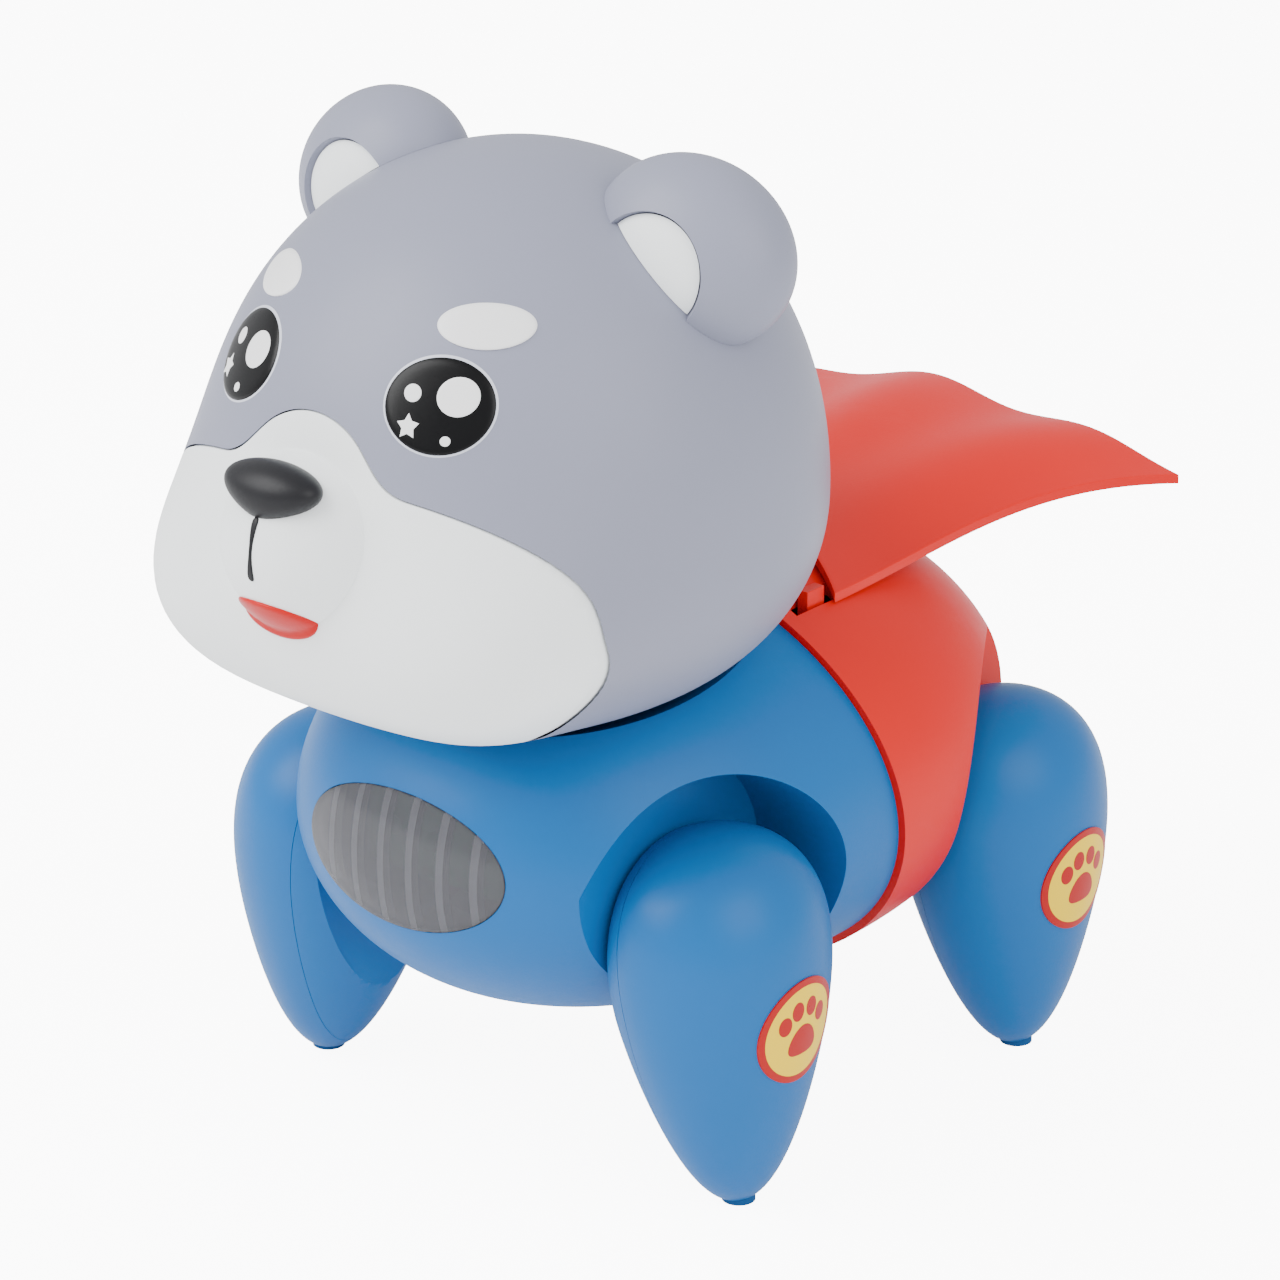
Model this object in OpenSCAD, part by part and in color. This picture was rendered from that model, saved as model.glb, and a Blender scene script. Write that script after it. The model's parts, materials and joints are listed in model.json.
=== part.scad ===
// Walking robot puppy with a cape. Front is -Y, the puppy's left is +X, up is +Z.
// Each leg swings on a steel axle that ends in a drive arm inside the body. A link joins the
// front and rear arms of each side, and a geared crank pushes the two links to and fro.

/* [Body] */
// Width of the body over its shells
body_w = 94; // [92:1:118]
// Height of the body
body_h = 70.4; // [68:0.2:86]
// Length of the body from its widest ring to the chest
body_front = 67.5; // [66:0.5:84]
// Length of the body from its widest ring to the rump
body_rear = 56.5; // [55:0.5:70]
// Fullness of the body's ends, where 2 is an ellipsoid
body_full = 2.35; // [2.2:0.05:2.6]
// Wall of the moulded shells
wall = 2; // [1.6:0.1:2.4]
// How far the rump shell stands proud of the chest shell
lip = 1.2; // [0.8:0.1:1.6]
// Backward lean of the joint between the two shells, in degrees
seam_lean = 9; // [4:1:12]
// Height of the body's centre above the leg axles
body_rise = 6.9; // [5:0.1:9]

/* [Chest lens] */
// Width of the oval chest lens
lens_w = 39; // [34:1:48]
// Height of the oval chest lens
lens_h = 21.6; // [16:0.2:24]
// Height of the lens above the body's centre
lens_rise = 1.6; // [0:0.2:4]
// Number of upright ribs behind the lens
lens_ribs = 6; // [4:1:9]

/* [Legs] */
// Height of a leg
leg_h = 60; // [56:1:74]
// Largest front to back width of a leg
leg_d = 36.8; // [32:0.4:40]
// Sideways thickness of a leg as a share of its front to back width
leg_flat = 0.89; // [0.8:0.01:1]
// Distance between the front and rear leg axles
axle_span = 72; // [70:1:88]
// Depth of an axle below the top of its leg
axle_drop = 14; // [12:0.5:16]
// Diameter of the leg axles
axle_d = 4; // [3:0.5:5]
// Outward splay of the legs, in degrees
leg_splay = 6; // [3:0.5:8]
// Depth of the round pockets that hold the tops of the legs
pocket_depth = 18.5; // [16:0.5:19]
// Radius of the round pockets
pocket_r = 22; // [20:0.5:23]
// Sideways distance from a pocket's floor to the foot
foot_out = 14; // [12:0.5:16]
// Diameter of the rubber foot pads
pad_d = 5.2; // [4:0.2:5.6]
// Diameter of the round leg stickers
sticker_d = 17; // [12:1:20]

/* [Head] */
// Width of the head
head_w = 92.8; // [84:0.4:104]
// Length of the head in front of its centre
head_front = 48.8; // [44:0.2:56]
// Length of the head behind its centre
head_back = 45; // [42:0.2:50]
// Height of the head above its centre
head_top = 51.9; // [46:0.1:60]
// Height of the head below its centre
head_under = 35.1; // [32:0.1:40]
// Height of the head's centre above the body's centre
head_rise = 53.8; // [53:0.1:64]
// Distance of the head's centre in front of the body's widest ring
head_ahead = 36.2; // [33:0.1:40]
// Swell of the two cheeks as a share of the head's radius
cheek_swell = 0.187; // [0.1:0.001:0.22]
// Radius of the round muzzle
muzzle_r = 14; // [12:0.5:16]
// Height of the ear tips above the head's centre
ear_rise = 41.5; // [38:0.5:48]
// Diameter of the neck post
neck_d = 12; // [9:0.5:14]

/* [Cape] */
// Width of the cape at its front edge
cape_front_w = 57; // [52:1:62]
// Width of the cape at its hem
cape_hem_w = 86; // [70:1:96]
// Distance of the hem behind the body's widest ring
cape_reach = 76.5; // [68:0.5:90]
// Thickness of the cape
cape_t = 1.6; // [1.2:0.1:2]

/* [Drive] */
// Size of the gear teeth, as pitch diameter over number of teeth
tooth_size = 0.6; // [0.5:0.05:0.62]
// Teeth on the motor pinion and on the small gear of each pair
pinion_teeth = 10; // [10:1:11]
// Teeth on the large gear of each pair
wheel_teeth = 36; // [32:1:36]
// Teeth on the crank gear
crank_teeth = 40; // [36:1:40]
// Length of the drive arms on the leg axles
arm_len = 14; // [12:0.5:15]
// Swing of the legs each way, in degrees
swing = 14; // [8:1:16]
// Diameter of the motor can
motor_d = 20; // [18:0.5:20.5]
// Length of the motor can
motor_len = 25; // [20:0.5:26]
// Diameter of a battery cell
cell_d = 14.2; // [13.5:0.1:14.6]
// Length of a battery cell
cell_len = 50; // [44:0.5:51]

/* [Hidden] */

// Clearances
run_gap = 0.05;   // radial gap of a shaft that turns in a bore
seat_gap = 0.02;  // radial gap of a shaft that is pressed into its seat
mould_gap = 0.15; // gap round a piece that sits in a moulded shell
part_gap = 0.3;   // gap between a removable or moving panel and its opening
skin_gap = 0.03;  // gap under a piece that is bonded to a moulded surface

// Heights and places
axle_z = leg_h - axle_drop;
body_z = axle_z + body_rise;
head_z = body_z + head_rise;
head_y = -head_ahead;
muzzle_y = head_y - head_front + 4;
muzzle_z = head_z + 3.6;
far = 400;

// Stations along X, measured in from the floor of the leg pockets
floor_x = body_w / 2 - pocket_depth;
leg_x = floor_x + 1.1;
link_t = 2;
link_x = floor_x - wall - 2.5 - link_t;
arm_t = 2.2;
arm_x = link_x - 0.5 - arm_t;
disc_x = link_x - 2.5 - arm_t;
link_z = axle_z + arm_len;
throw = arm_len * sin(swing);

// The cape's pins lie just under the rump shell's front edge
pin_r = 1;
hinge_y = 1;
hinge_x = cape_front_w / 2 - 2.5;
hinge_z = body_z + (body_h / 2 + lip / 2 - wall) * sqrt(1 - pow(hinge_x / (body_w / 2 - wall), 2)) - 2.8;

// The origin lies under the middle of the whole length
y_shift = (muzzle_r - muzzle_y - cape_reach) / 2;

function power_sum(a, b, n) = pow(abs(a), n) + pow(abs(b), n);
function dot(a, b) = a * b / norm(a) / norm(b);
function bell(angle, spread) = exp(-pow(angle / spread, 2));

// A closed skin made from rings of points with one point at each end. The rings run clockwise
// seen from the end that has the last point
module skin(rings, first, last) {
    cols = len(rings[0]);
    rows = len(rings);
    last_id = rows * cols + 1;
    points = [first, for (ring = rings) for (p = ring) p, last];
    faces = [
        for (j = [0:cols - 1]) [0, 1 + (j + 1) % cols, 1 + j],
        for (i = [0:rows - 2]) for (j = [0:cols - 1]) let (
            a = 1 + i * cols + j,
            b = 1 + i * cols + (j + 1) % cols
        ) each [[a, b, b + cols], [a, b + cols, a + cols]],
        for (j = [0:cols - 1]) [
            last_id,
            last_id - cols + j,
            last_id - cols + (j + 1) % cols
        ]
    ];
    polyhedron(points, faces);
}

// Everything inside is merged into one moulded surface
module moulded() { resize([0, 0, 0]) children(); }

// An outline in the YZ plane, pushed from x0 to x1
module along_x(x0, x1) {
    translate([x0, 0, 0]) rotate([90, 0, 90]) linear_extrude(x1 - x0) children();
}

// A rod along X
module rod_x(x0, x1, r, y = 0, z = 0) {
    translate([x0, y, z]) rotate([0, 90, 0]) cylinder(r = r, h = x1 - x0, $fn = 24);
}

// A rod along Z
module rod_z(z0, z1, r, x = 0, y = 0) {
    translate([x, y, z0]) cylinder(r = r, h = z1 - z0, $fn = 24);
}

module both_sides() {
    children();
    mirror([1, 0, 0]) children();
}

// ---- Body skin ----
module body_skin(grow, cols = 36, rows = 18) {
    rings = [for (i = [1:rows - 1]) let (
        s = sin(-90 + 180 * i / rows),
        reach = (s < 0 ? body_front : body_rear) + grow,
        k = pow(1 - pow(abs(s), body_full), 1 / body_full)
    ) [for (j = [0:cols - 1]) let (a = 360 * j / cols) [
        (body_w / 2 + grow) * k * cos(a),
        reach * s,
        body_z + (body_h / 2 + grow) * k * sin(a)
    ]]];
    skin(rings, [0, -body_front - grow, body_z], [0, body_rear + grow, body_z]);
}

// Place of the leaning joint at the height of the body's centre
seam_y = -2.4;

// Half space in front of the leaning joint between the shells, moved by shift
module ahead_of_seam(shift = 0) {
    translate([0, seam_y + shift, body_z]) rotate([seam_lean, 0, 0])
        translate([-far / 2, -far, -far / 2]) cube([far, far, far]);
}

module behind_seam(shift = 0) {
    translate([0, seam_y + shift, body_z]) rotate([seam_lean, 0, 0])
        translate([-far / 2, 0, -far / 2]) cube([far, far, far]);
}

// Room for one leg: round over the axle and open downwards
module leg_room(y, grow, x0) {
    along_x(x0, far) translate([y, axle_z]) {
        circle(r = pocket_r + grow, $fn = 36);
        translate([-pocket_r - grow, -far]) square([2 * (pocket_r + grow), far]);
    }
}

module leg_rooms(y, grow, x0) { both_sides() leg_room(y, grow, x0); }

// The dish under the head, round about the neck
dish_r = 50.5;
dish_depth = 36.4;
module dish(grow) {
    translate([0, head_y, head_z]) scale([dish_r + grow, dish_r + grow, dish_depth + grow])
        sphere(r = 1, $fn = 30);
}

// The belly door takes up this plan, less a gap all round
door_x = cell_d * 1.5 + 4.3;
door_y = cell_len / 2 + 12;
module door_plan(less = 0) {
    offset(r = 3, $fn = 24) square([2 * (door_x - less - 3), 2 * (door_y - less - 3)], center = true);
}

// Chassis screws stand between the front and rear leg pockets
screw_x = floor_x + 3.5;
screw_y = 8;
screw_head_z = body_z - body_h / 2 + 14.5;
box_top_z = link_z - 14.4;
box_low_z = box_top_z - cell_d - 2.6;
tab_z = box_top_z - 3.6;

module screw_boss() { rod_z(body_z - body_h / 2, tab_z - seat_gap, 3.2, screw_x, 0); }

module screw_hole() {
    rod_z(-1, screw_head_z + 1.7, 2.6, screw_x, 0);
    rod_z(-1, tab_z + 1, 1.4, screw_x, 0);
}

module chest_window(less) {
    translate([0, 0, body_z + lens_rise]) rotate([90, 0, 0])
        linear_extrude(far) scale([lens_w / 2 - less, lens_h / 2 - less]) circle(r = 1, $fn = 32);
}

speaker_y = -door_y - 6;
module front_shell() {
    color("#2a86c8") moulded() difference() {
        intersection() {
            body_skin(-lip / 2);
            ahead_of_seam();
        }
        difference() {
            body_skin(-lip / 2 - wall, 22, 12);
            leg_rooms(-axle_span / 2, wall, floor_x - wall);
            dish(wall);
            both_sides() translate([0, -screw_y, 0]) screw_boss();
        }
        leg_rooms(-axle_span / 2, 0, floor_x);
        dish(0);
        chest_window(0);
        translate([0, 0, -1]) linear_extrude(axle_z) door_plan();
        both_sides() translate([0, -screw_y, 0]) screw_hole();
        both_sides() rod_x(floor_x - far, far, bush_r + mould_gap, -axle_span / 2, axle_z);
        rod_z(body_z, head_z, neck_d / 2 + mould_gap, 0, head_y);
        for (a = [0:60:300]) rod_z(0, axle_z, 1, 4 * cos(a), speaker_y + 4 * sin(a));
    }
}

slot_front_y = -4;
slot_back_y = 7.5;
knob_y = 42;
knob_w = 3;
knob_travel = 2;
module rear_shell() {
    color("#e0260f") moulded() difference() {
        intersection() {
            body_skin(lip / 2);
            behind_seam(0.1);
        }
        difference() {
            body_skin(lip / 2 - wall, 22, 12);
            leg_rooms(axle_span / 2, wall, floor_x - wall);
            dish(wall);
            both_sides() translate([0, screw_y, 0]) screw_boss();
            both_sides() translate([hinge_x - 4.6, hinge_y - 3, hinge_z - 3]) cube([1.8, 6, far]);
        }
        leg_rooms(axle_span / 2, 0, floor_x);
        dish(0);
        translate([0, 0, -1]) linear_extrude(axle_z) door_plan();
        both_sides() translate([0, screw_y, 0]) screw_hole();
        both_sides() rod_x(floor_x - far, far, bush_r + mould_gap, axle_span / 2, axle_z);
        both_sides() translate([hinge_x - 1.6, slot_front_y, hinge_z - 4])
            cube([3.2, slot_back_y - slot_front_y, far]);
        both_sides() rod_x(hinge_x - 8, hinge_x + 8, pin_r + mould_gap, hinge_y, hinge_z);
        translate([-knob_travel - knob_w / 2 - part_gap, knob_y - knob_w / 2 - part_gap, 0])
            cube([2 * knob_travel + knob_w + 2 * part_gap, knob_w + 2 * part_gap, body_z]);
    }
}

// ---- Chest lens and its light ----
module chest_lens() {
    rib_pitch = lens_w / (lens_ribs + 1);
    color([0.32, 0.32, 0.35, 0.6]) moulded() intersection() {
        chest_window(mould_gap);
        union() {
            difference() {
                body_skin(-lip / 2 + 0.15);
                body_skin(-lip / 2 - 1.4);
            }
            for (i = [1:lens_ribs]) intersection() {
                difference() {
                    body_skin(-lip / 2 - 1.3);
                    body_skin(-lip / 2 - 2.8);
                }
                translate([-lens_w / 2 + i * rib_pitch - 0.6, -far, 0]) cube([1.2, far, far]);
            }
        }
    }
}

light_y = -body_front + 12;
module light_board() {
    color("seagreen") translate([-14, light_y, body_z + lens_rise - 7]) cube([28, 1.2, 14]);
    color("white") for (x = [-9, 0, 9]) translate([x, light_y, body_z + lens_rise]) rotate([90, 0, 0]) {
        cylinder(r = 1.5, h = 1.6, $fn = 32);
        translate([0, 0, 1.6]) sphere(r = 1.5, $fn = 32);
    }
}

// ---- Gear train ----
// Involute, tooth outline and whole gear; half is a tooth's half angle at radius r
function roll_angle(a) = tan(a) * 180 / PI - a;
function half_angle(teeth, r, base, slack) =
    90 / teeth - slack + roll_angle(20) - roll_angle(acos(min(1, base / r)));

module gear_outline(teeth, turn) {
    pitch_r = tooth_size * teeth / 2;
    base = pitch_r * cos(20);
    root = pitch_r - 1.15 * tooth_size;
    tip = pitch_r + 0.8 * tooth_size;
    slack = 0.06 * tooth_size / pitch_r * 180 / PI;
    low = max(base, root);
    flank = [low, (low + pitch_r) / 2 + 0.01, pitch_r + 0.02, tip];
    polygon([for (i = [0:teeth - 1]) let (mid = turn + i * 360 / teeth) each [
        root * [
            cos(mid - half_angle(teeth, low, base, slack) - 1),
            sin(mid - half_angle(teeth, low, base, slack) - 1)
        ],
        for (r = flank) let (a = mid - half_angle(teeth, r, base, slack)) r * [cos(a), sin(a)],
        for (k = [3:-1:0]) let (r = flank[k], a = mid + half_angle(teeth, r, base, slack))
            r * [cos(a), sin(a)],
        root * [
            cos(mid + half_angle(teeth, low, base, slack) + 1),
            sin(mid + half_angle(teeth, low, base, slack) + 1)
        ]
    ]]);
}

module gear(teeth, x0, x1, bore, turn) {
    along_x(x0, x1) difference() {
        gear_outline(teeth, turn);
        circle(r = bore, $fn = 32);
    }
}

mesh_gap = 0.12;
crank_z = link_z;
step_one = tooth_size * (wheel_teeth + pinion_teeth) / 2 + mesh_gap;
step_two = tooth_size * (crank_teeth + pinion_teeth) / 2 + mesh_gap;
lean_two = -8;   // direction from the crank to the second gear
lean_one = 25;   // direction from the second gear to the first
lean_motor = -30; // direction from the first gear to the motor
second_at = [step_two * cos(lean_two), crank_z + step_two * sin(lean_two)];
first_at = second_at + step_one * [cos(lean_one), sin(lean_one)];
motor_at = first_at + step_one * [cos(lean_motor), sin(lean_motor)];
plate_left_x = -15;
plate_right_x = 6;
plate_t = 2;
post_r = 1.8;
shaft_r = 1.5;
disc_r = 6;
drive_pin_r = 1.3;
posts = [
    [-14.5, box_top_z + 4.2],
    [-13.5, crank_z + 6.8],
    [15, crank_z + 15.5],
    [27, box_top_z + 2.1]
];

module at(place) { translate([0, place[0], place[1]]) children(); }

module plate_outline() {
    polygon([
        [-18, box_top_z + 0.6], [45.5, box_top_z + 0.6], [47, crank_z - 2], [43, crank_z + 6],
        [33, crank_z + 14], [22, crank_z + 18], [9, crank_z + 18], [-3, crank_z + 13],
        [-12, crank_z + 10.3], [-18, crank_z + 8]
    ]);
}

module gearbox_left_plate() {
    color("gainsboro") difference() {
        union() {
            along_x(plate_left_x, plate_left_x + plate_t) plate_outline();
            for (p = posts) rod_x(plate_left_x, plate_right_x, post_r, p[0], p[1]);
        }
        rod_x(-far, 0, shaft_r + run_gap, 0, crank_z);
        for (p = [first_at, second_at])
            rod_x(plate_left_x - 1, plate_left_x + plate_t + 1, pin_r + seat_gap, p[0], p[1]);
        rod_x(plate_left_x - 1, plate_left_x + plate_t + 1, pin_r + 0.5, motor_at[0], motor_at[1]);
    }
}

module gearbox_right_plate() {
    color("gainsboro") difference() {
        along_x(plate_right_x, plate_right_x + plate_t) plate_outline();
        rod_x(0, far, shaft_r + run_gap, 0, crank_z);
        for (p = [first_at, second_at]) rod_x(0, far, pin_r + seat_gap, p[0], p[1]);
        rod_x(0, far, motor_d / 2 + seat_gap, motor_at[0], motor_at[1]);
    }
}

module gear_pins() {
    color("silver") for (p = [first_at, second_at])
        rod_x(plate_left_x, plate_right_x + plate_t, pin_r, p[0], p[1]);
}

stage_one_x = -12.4;
stage_two_x = -8.4;
stage_three_x = -3.6;
gear_t = 3;
motor_x = stage_one_x + gear_t + 0.8;

module motor() {
    color("silver") at(motor_at) difference() {
        union() {
            rod_x(motor_x, motor_x + motor_len, motor_d / 2);
            rod_x(motor_x - 0.5, motor_x, 3);
            rod_x(motor_x + motor_len, motor_x + motor_len + 1, 3.5);
        }
        rod_x(motor_x - 1, motor_x + 6, pin_r + run_gap);
    }
}

module motor_pinion() {
    color("gold") at(motor_at) {
        gear(pinion_teeth, stage_one_x - 0.3, stage_one_x + gear_t + 0.2, pin_r - 0.1,
            lean_motor + 180 + 180 / pinion_teeth);
        rod_x(plate_left_x + 0.3, motor_x + 5.5, pin_r);
    }
}

module first_gear() {
    color("ivory") at(first_at) {
        gear(wheel_teeth, stage_one_x, stage_one_x + gear_t, pin_r + run_gap, lean_motor);
        gear(pinion_teeth, stage_one_x + gear_t, stage_two_x + gear_t + 0.6, pin_r + run_gap,
            lean_one + 180 + 180 / pinion_teeth);
    }
}

module second_gear() {
    color("ivory") at(second_at) {
        gear(wheel_teeth, stage_two_x, stage_two_x + gear_t, pin_r + run_gap, lean_one);
        gear(pinion_teeth, stage_two_x + gear_t, stage_three_x + gear_t + 1.4, pin_r + run_gap,
            lean_two + 180 + 180 / pinion_teeth);
    }
}

module crank_gear() {
    color("ivory") at([0, crank_z]) {
        gear(crank_teeth, stage_three_x, stage_three_x + gear_t + 1, shaft_r + seat_gap, lean_two);
        difference() {
            rod_x(stage_three_x + gear_t + 1, plate_right_x - 0.4, 4);
            rod_x(-far, far, shaft_r + seat_gap);
        }
    }
}

// The crank pins stop short of the links, which leaves the drive open at that one pivot
module crank_shaft() {
    color("silver") at([0, crank_z]) {
        rod_x(-disc_x, disc_x, shaft_r);
        for (s = [-1, 1]) {
            rod_x(min(s * disc_x, s * (disc_x + arm_t)), max(s * disc_x, s * (disc_x + arm_t)), disc_r);
            rod_x(min(s * disc_x, s * (link_x - 0.5)), max(s * disc_x, s * (link_x - 0.5)),
                drive_pin_r, 0, s * throw);
        }
    }
}

// ---- Links between the drive arms ----
arm_pin_r = 1.5;
link_half_h = 1.8;
link_eye_r = 3.2;
link_rim = 2;   // rim round the slot for the crank pin
module link_left() {
    slot_half_w = drive_pin_r + 0.3;
    slot_half_h = throw + drive_pin_r + 0.4;
    color("ivory") difference() {
        along_x(link_x, link_x + link_t) difference() {
            union() {
                translate([-axle_span / 2, link_z - link_half_h]) square([axle_span, 2 * link_half_h]);
                translate([-slot_half_w - link_rim, link_z - slot_half_h - link_rim])
                    square(2 * [slot_half_w + link_rim, slot_half_h + link_rim]);
                for (s = [-1, 1]) translate([s * axle_span / 2, link_z]) circle(r = link_eye_r, $fn = 48);
            }
            translate([-slot_half_w, link_z - slot_half_h]) square(2 * [slot_half_w, slot_half_h]);
        }
        for (s = [-1, 1]) rod_x(0, far, arm_pin_r + run_gap, s * axle_span / 2, link_z);
    }
}

module link_right() { mirror([1, 0, 0]) link_left(); }

// ---- Motor control and sound ----
module main_board() {
    board_z = crank_z - 4;
    color("seagreen") translate([-16, -52, board_z]) cube([32, 31, 1.2]);
    color("dimgray") for (p = [[-9, -40, 8, 9], [4, -45, 6, 6], [3, -34, 9, 4]])
        translate([p[0], p[1], board_z + 1.2]) cube([p[2], p[3], 1.4]);
    color("silver") rod_z(board_z + 1.2, board_z + 5.2, 2.4, -11, -26);
}

module speaker() {
    speaker_z = body_z - body_h / 2 + 15.4;
    color("dimgray") rod_z(speaker_z, speaker_z + 3, 11.5, 0, speaker_y);
    color("silver") rod_z(speaker_z + 3, speaker_z + 7, 6.5, 0, speaker_y);
}

// ---- Batteries ----
cell_pitch = cell_d + 0.5;
cell_z = box_low_z + 0.8 + cell_d / 2;
box_x = 1.5 * cell_pitch + 1.9;
box_y = cell_len / 2 + 4.2;
module battery_box() {
    color("dimgray") difference() {
        union() {
            translate([-box_x, -box_y, box_low_z]) cube([2 * box_x, 2 * box_y, box_top_z - box_low_z]);
            both_sides() for (t = [-1, 1]) translate([box_x, t * screw_y - 4, tab_z])
                cube([screw_x + 4 - box_x, 8, 2.4]);
            translate([-4, -box_y - 5.4, box_low_z]) cube([8, 5.4, 4]);
        }
        translate([-box_x + 1.6, -box_y + 1.5, box_low_z - 1])
            cube([2 * box_x - 3.2, 2 * box_y - 3, box_top_z - box_low_z - 0.4]);
        for (s = [-1, 1]) for (t = [-1, 1])
            rod_z(tab_z - 1, tab_z + 9, 1.2 + seat_gap, s * screw_x, t * screw_y);
        rod_z(0, box_low_z + 3, 1.2 + run_gap, 0, -box_y - 2.7);
    }
}

module battery_cells() {
    for (i = [-1:1]) translate([i * cell_pitch, (i == 0 ? -1 : 1) * cell_len / 2, cell_z])
        rotate([i == 0 ? -90 : 90, 0, 0]) {
            color("goldenrod") cylinder(r = cell_d / 2, h = cell_len - 1, $fn = 64);
            color("silver") translate([0, 0, cell_len - 1]) cylinder(r = 2.6, h = 1, $fn = 32);
        }
}

module battery_contacts() {
    color("silver") for (i = [-1:1]) for (s = [-1, 1])
        translate([i * cell_pitch, s * (box_y - 1.7), cell_z]) {
        translate([-5, -0.2, -5]) cube([10, 0.4, 10]);
        rotate([s * 90, 0, 0]) difference() {
            cylinder(r = 3.4, h = 2.2, $fn = 32);
            translate([0, 0, -1]) cylinder(r = 2.8, h = 9, $fn = 32);
        }
    }
}

door_screw_y = -box_y - 2.7;
door_head_z = body_z - body_h / 2 + 4.6;
module battery_door() {
    color("#2a86c8") moulded() difference() {
        intersection() {
            union() {
                difference() {
                    body_skin(-lip / 2);
                    body_skin(-lip / 2 - wall, 22, 12);
                }
                rod_z(0, box_low_z - 0.2, 3.6, 0, door_screw_y);
            }
            body_skin(-lip / 2);
            linear_extrude(axle_z) door_plan(part_gap);
        }
        translate([-box_x - part_gap, -box_y - 5.7, box_low_z - 0.2])
            cube([2 * (box_x + part_gap), 2 * box_y + 5.7 + part_gap, far]);
        rod_z(-1, door_head_z, 2.7, 0, door_screw_y);
        rod_z(-1, axle_z, 1.5, 0, door_screw_y);
    }
}

module door_screw() {
    color("silver") difference() {
        union() {
            rod_z(door_head_z - 1.5, door_head_z, 2.4, 0, door_screw_y);
            rod_z(door_head_z, box_low_z + 2.6, 1.2, 0, door_screw_y);
        }
        for (turn = [0, 90]) translate([0, door_screw_y, door_head_z - 1.5]) rotate([0, 0, turn])
            cube([3.2, 0.7, 1.6], center = true);
    }
}

module chassis_screws() {
    color("silver") for (s = [-1, 1]) for (t = [-1, 1]) {
        rod_z(screw_head_z, screw_head_z + 1.6, 2.4, s * screw_x, t * screw_y);
        rod_z(screw_head_z + 1.6, tab_z + 3, 1.2, s * screw_x, t * screw_y);
    }
}

// ---- Power switch ----
switch_z = body_z - body_h / 2 + 14.8;
module switch_body() {
    color("dimgray") difference() {
        translate([-6.5, knob_y - 3, switch_z]) cube([13, 6, 5]);
        translate([-knob_travel - knob_w / 2 - part_gap, knob_y - knob_w / 2 - part_gap, switch_z - 1])
            cube([2 * knob_travel + knob_w + 2 * part_gap, knob_w + 2 * part_gap, 4]);
    }
}

module switch_knob() {
    color("black") translate([-knob_w / 2, knob_y - knob_w / 2, switch_z - 7])
        cube([knob_w, knob_w, 9.4]);
}

// ---- Neck ----
module neck_post() {
    seat_z = head_z - dish_depth - wall;
    color("dimgray") translate([0, head_y, 0]) difference() {
        union() {
            rod_z(seat_z - 2, seat_z - seat_gap, neck_d / 2 + 3);
            rod_z(seat_z - 2, head_z - head_under + 8, neck_d / 2);
            rod_z(head_z - head_under + 6.2, head_z - head_under + 8, neck_d / 2 + 1.6);
        }
        rod_z(0, far, neck_d / 2 - 2);
    }
}

bush_wall = 3;
module neck_bush() {
    color("ivory") translate([0, head_y, head_z - head_under]) difference() {
        union() {
            rod_z(0.4, 5.8, neck_d / 2 + bush_wall);
            rod_z(wall + 1.8, wall + 3.8, neck_d / 2 + bush_wall + 4);
        }
        rod_z(-1, 9, neck_d / 2 + run_gap);
    }
}

// ---- Head ----
cheek_at = [0.575, -0.833, -0.274];
function head_reach(u, grow) = let (
    len_y = (u[1] < 0 ? head_front : head_back) + grow,
    len_z = (u[2] > 0 ? head_top : head_under) + grow,
    flat = pow(power_sum(u[0] / (head_w / 2 + grow), u[1] / len_y, 2.06), 2.1 / 2.06)
) pow(flat + pow(abs(u[2] / len_z), 2.1), -1 / 2.1);
function head_swell(u) = 1
    + cheek_swell * bell(acos(dot(u, cheek_at)), 21.4)
    + cheek_swell * bell(acos(dot(u, [-cheek_at[0], cheek_at[1], cheek_at[2]])), 21.4)
    + 0.089 * bell(acos(dot(u, [0, -1, -0.35])), 24);
function head_point(u, grow) = u * head_reach(u, grow) * head_swell(u) + [0, head_y, head_z];

module head_skin(grow, cols = 34, rows = 20) {
    rings = [for (i = [1:rows - 1]) let (p = 180 - 180 * i / rows) [for (j = [0:cols - 1])
        let (a = -360 * j / cols) head_point([sin(p) * cos(a), sin(p) * sin(a), cos(p)], grow)
    ]];
    skin(rings, head_point([0, 0, -1], grow), head_point([0, 0, 1], grow));
}

module muzzle(grow) {
    translate([0, muzzle_y, muzzle_z]) sphere(r = muzzle_r + grow, $fn = 22);
}

// The white mask seen from the front: a wide lobe with a blaze between the eyes
mask_half = 42.3;
mask_back = 17;   // the mask ends this far in front of the head's centre
module mask_outline(grow) {
    offset(r = grow - 3, $fn = 16) offset(delta = 3) {
        polygon([for (a = [0:15:345]) let (c = cos(a), s = sin(a), full = s < 0 ? 1 : 0.8) [
            mask_half * sign(c) * pow(abs(c), full),
            head_z - 7.7 + (s < 0 ? 24 : 22) * sign(s) * pow(abs(s), full)
        ]]);
        translate([0, head_z + 10.3]) scale([13, 12.4]) circle(r = 1, $fn = 20);
    }
}

module mask_zone(grow) {
    translate([0, head_y - mask_back + grow, 0]) rotate([90, 0, 0]) linear_extrude(far) mask_outline(grow);
}

module face_prism(x, z, turn, half_w, half_h) {
    translate([x, head_y, z]) rotate([90, 0, turn]) linear_extrude(far)
        scale([half_w, half_h]) circle(r = 1, $fn = 18);
}

module bonded(thick) {
    difference() {
        head_skin(thick);
        head_skin(skin_gap);
    }
}

eye_z = head_z + 25.5;
eye_turn = 25;   // angle of the eyes from straight ahead
eye_half_w = 8.15;
eye_half_h = 6.25;
brow_z = head_z + 35.9;
brow_turn = 33.5;
brow_half_w = 7.1;
brow_half_h = 2.75;
film_t = 0.35;   // thickness of the bonded eyes and brows

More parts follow.
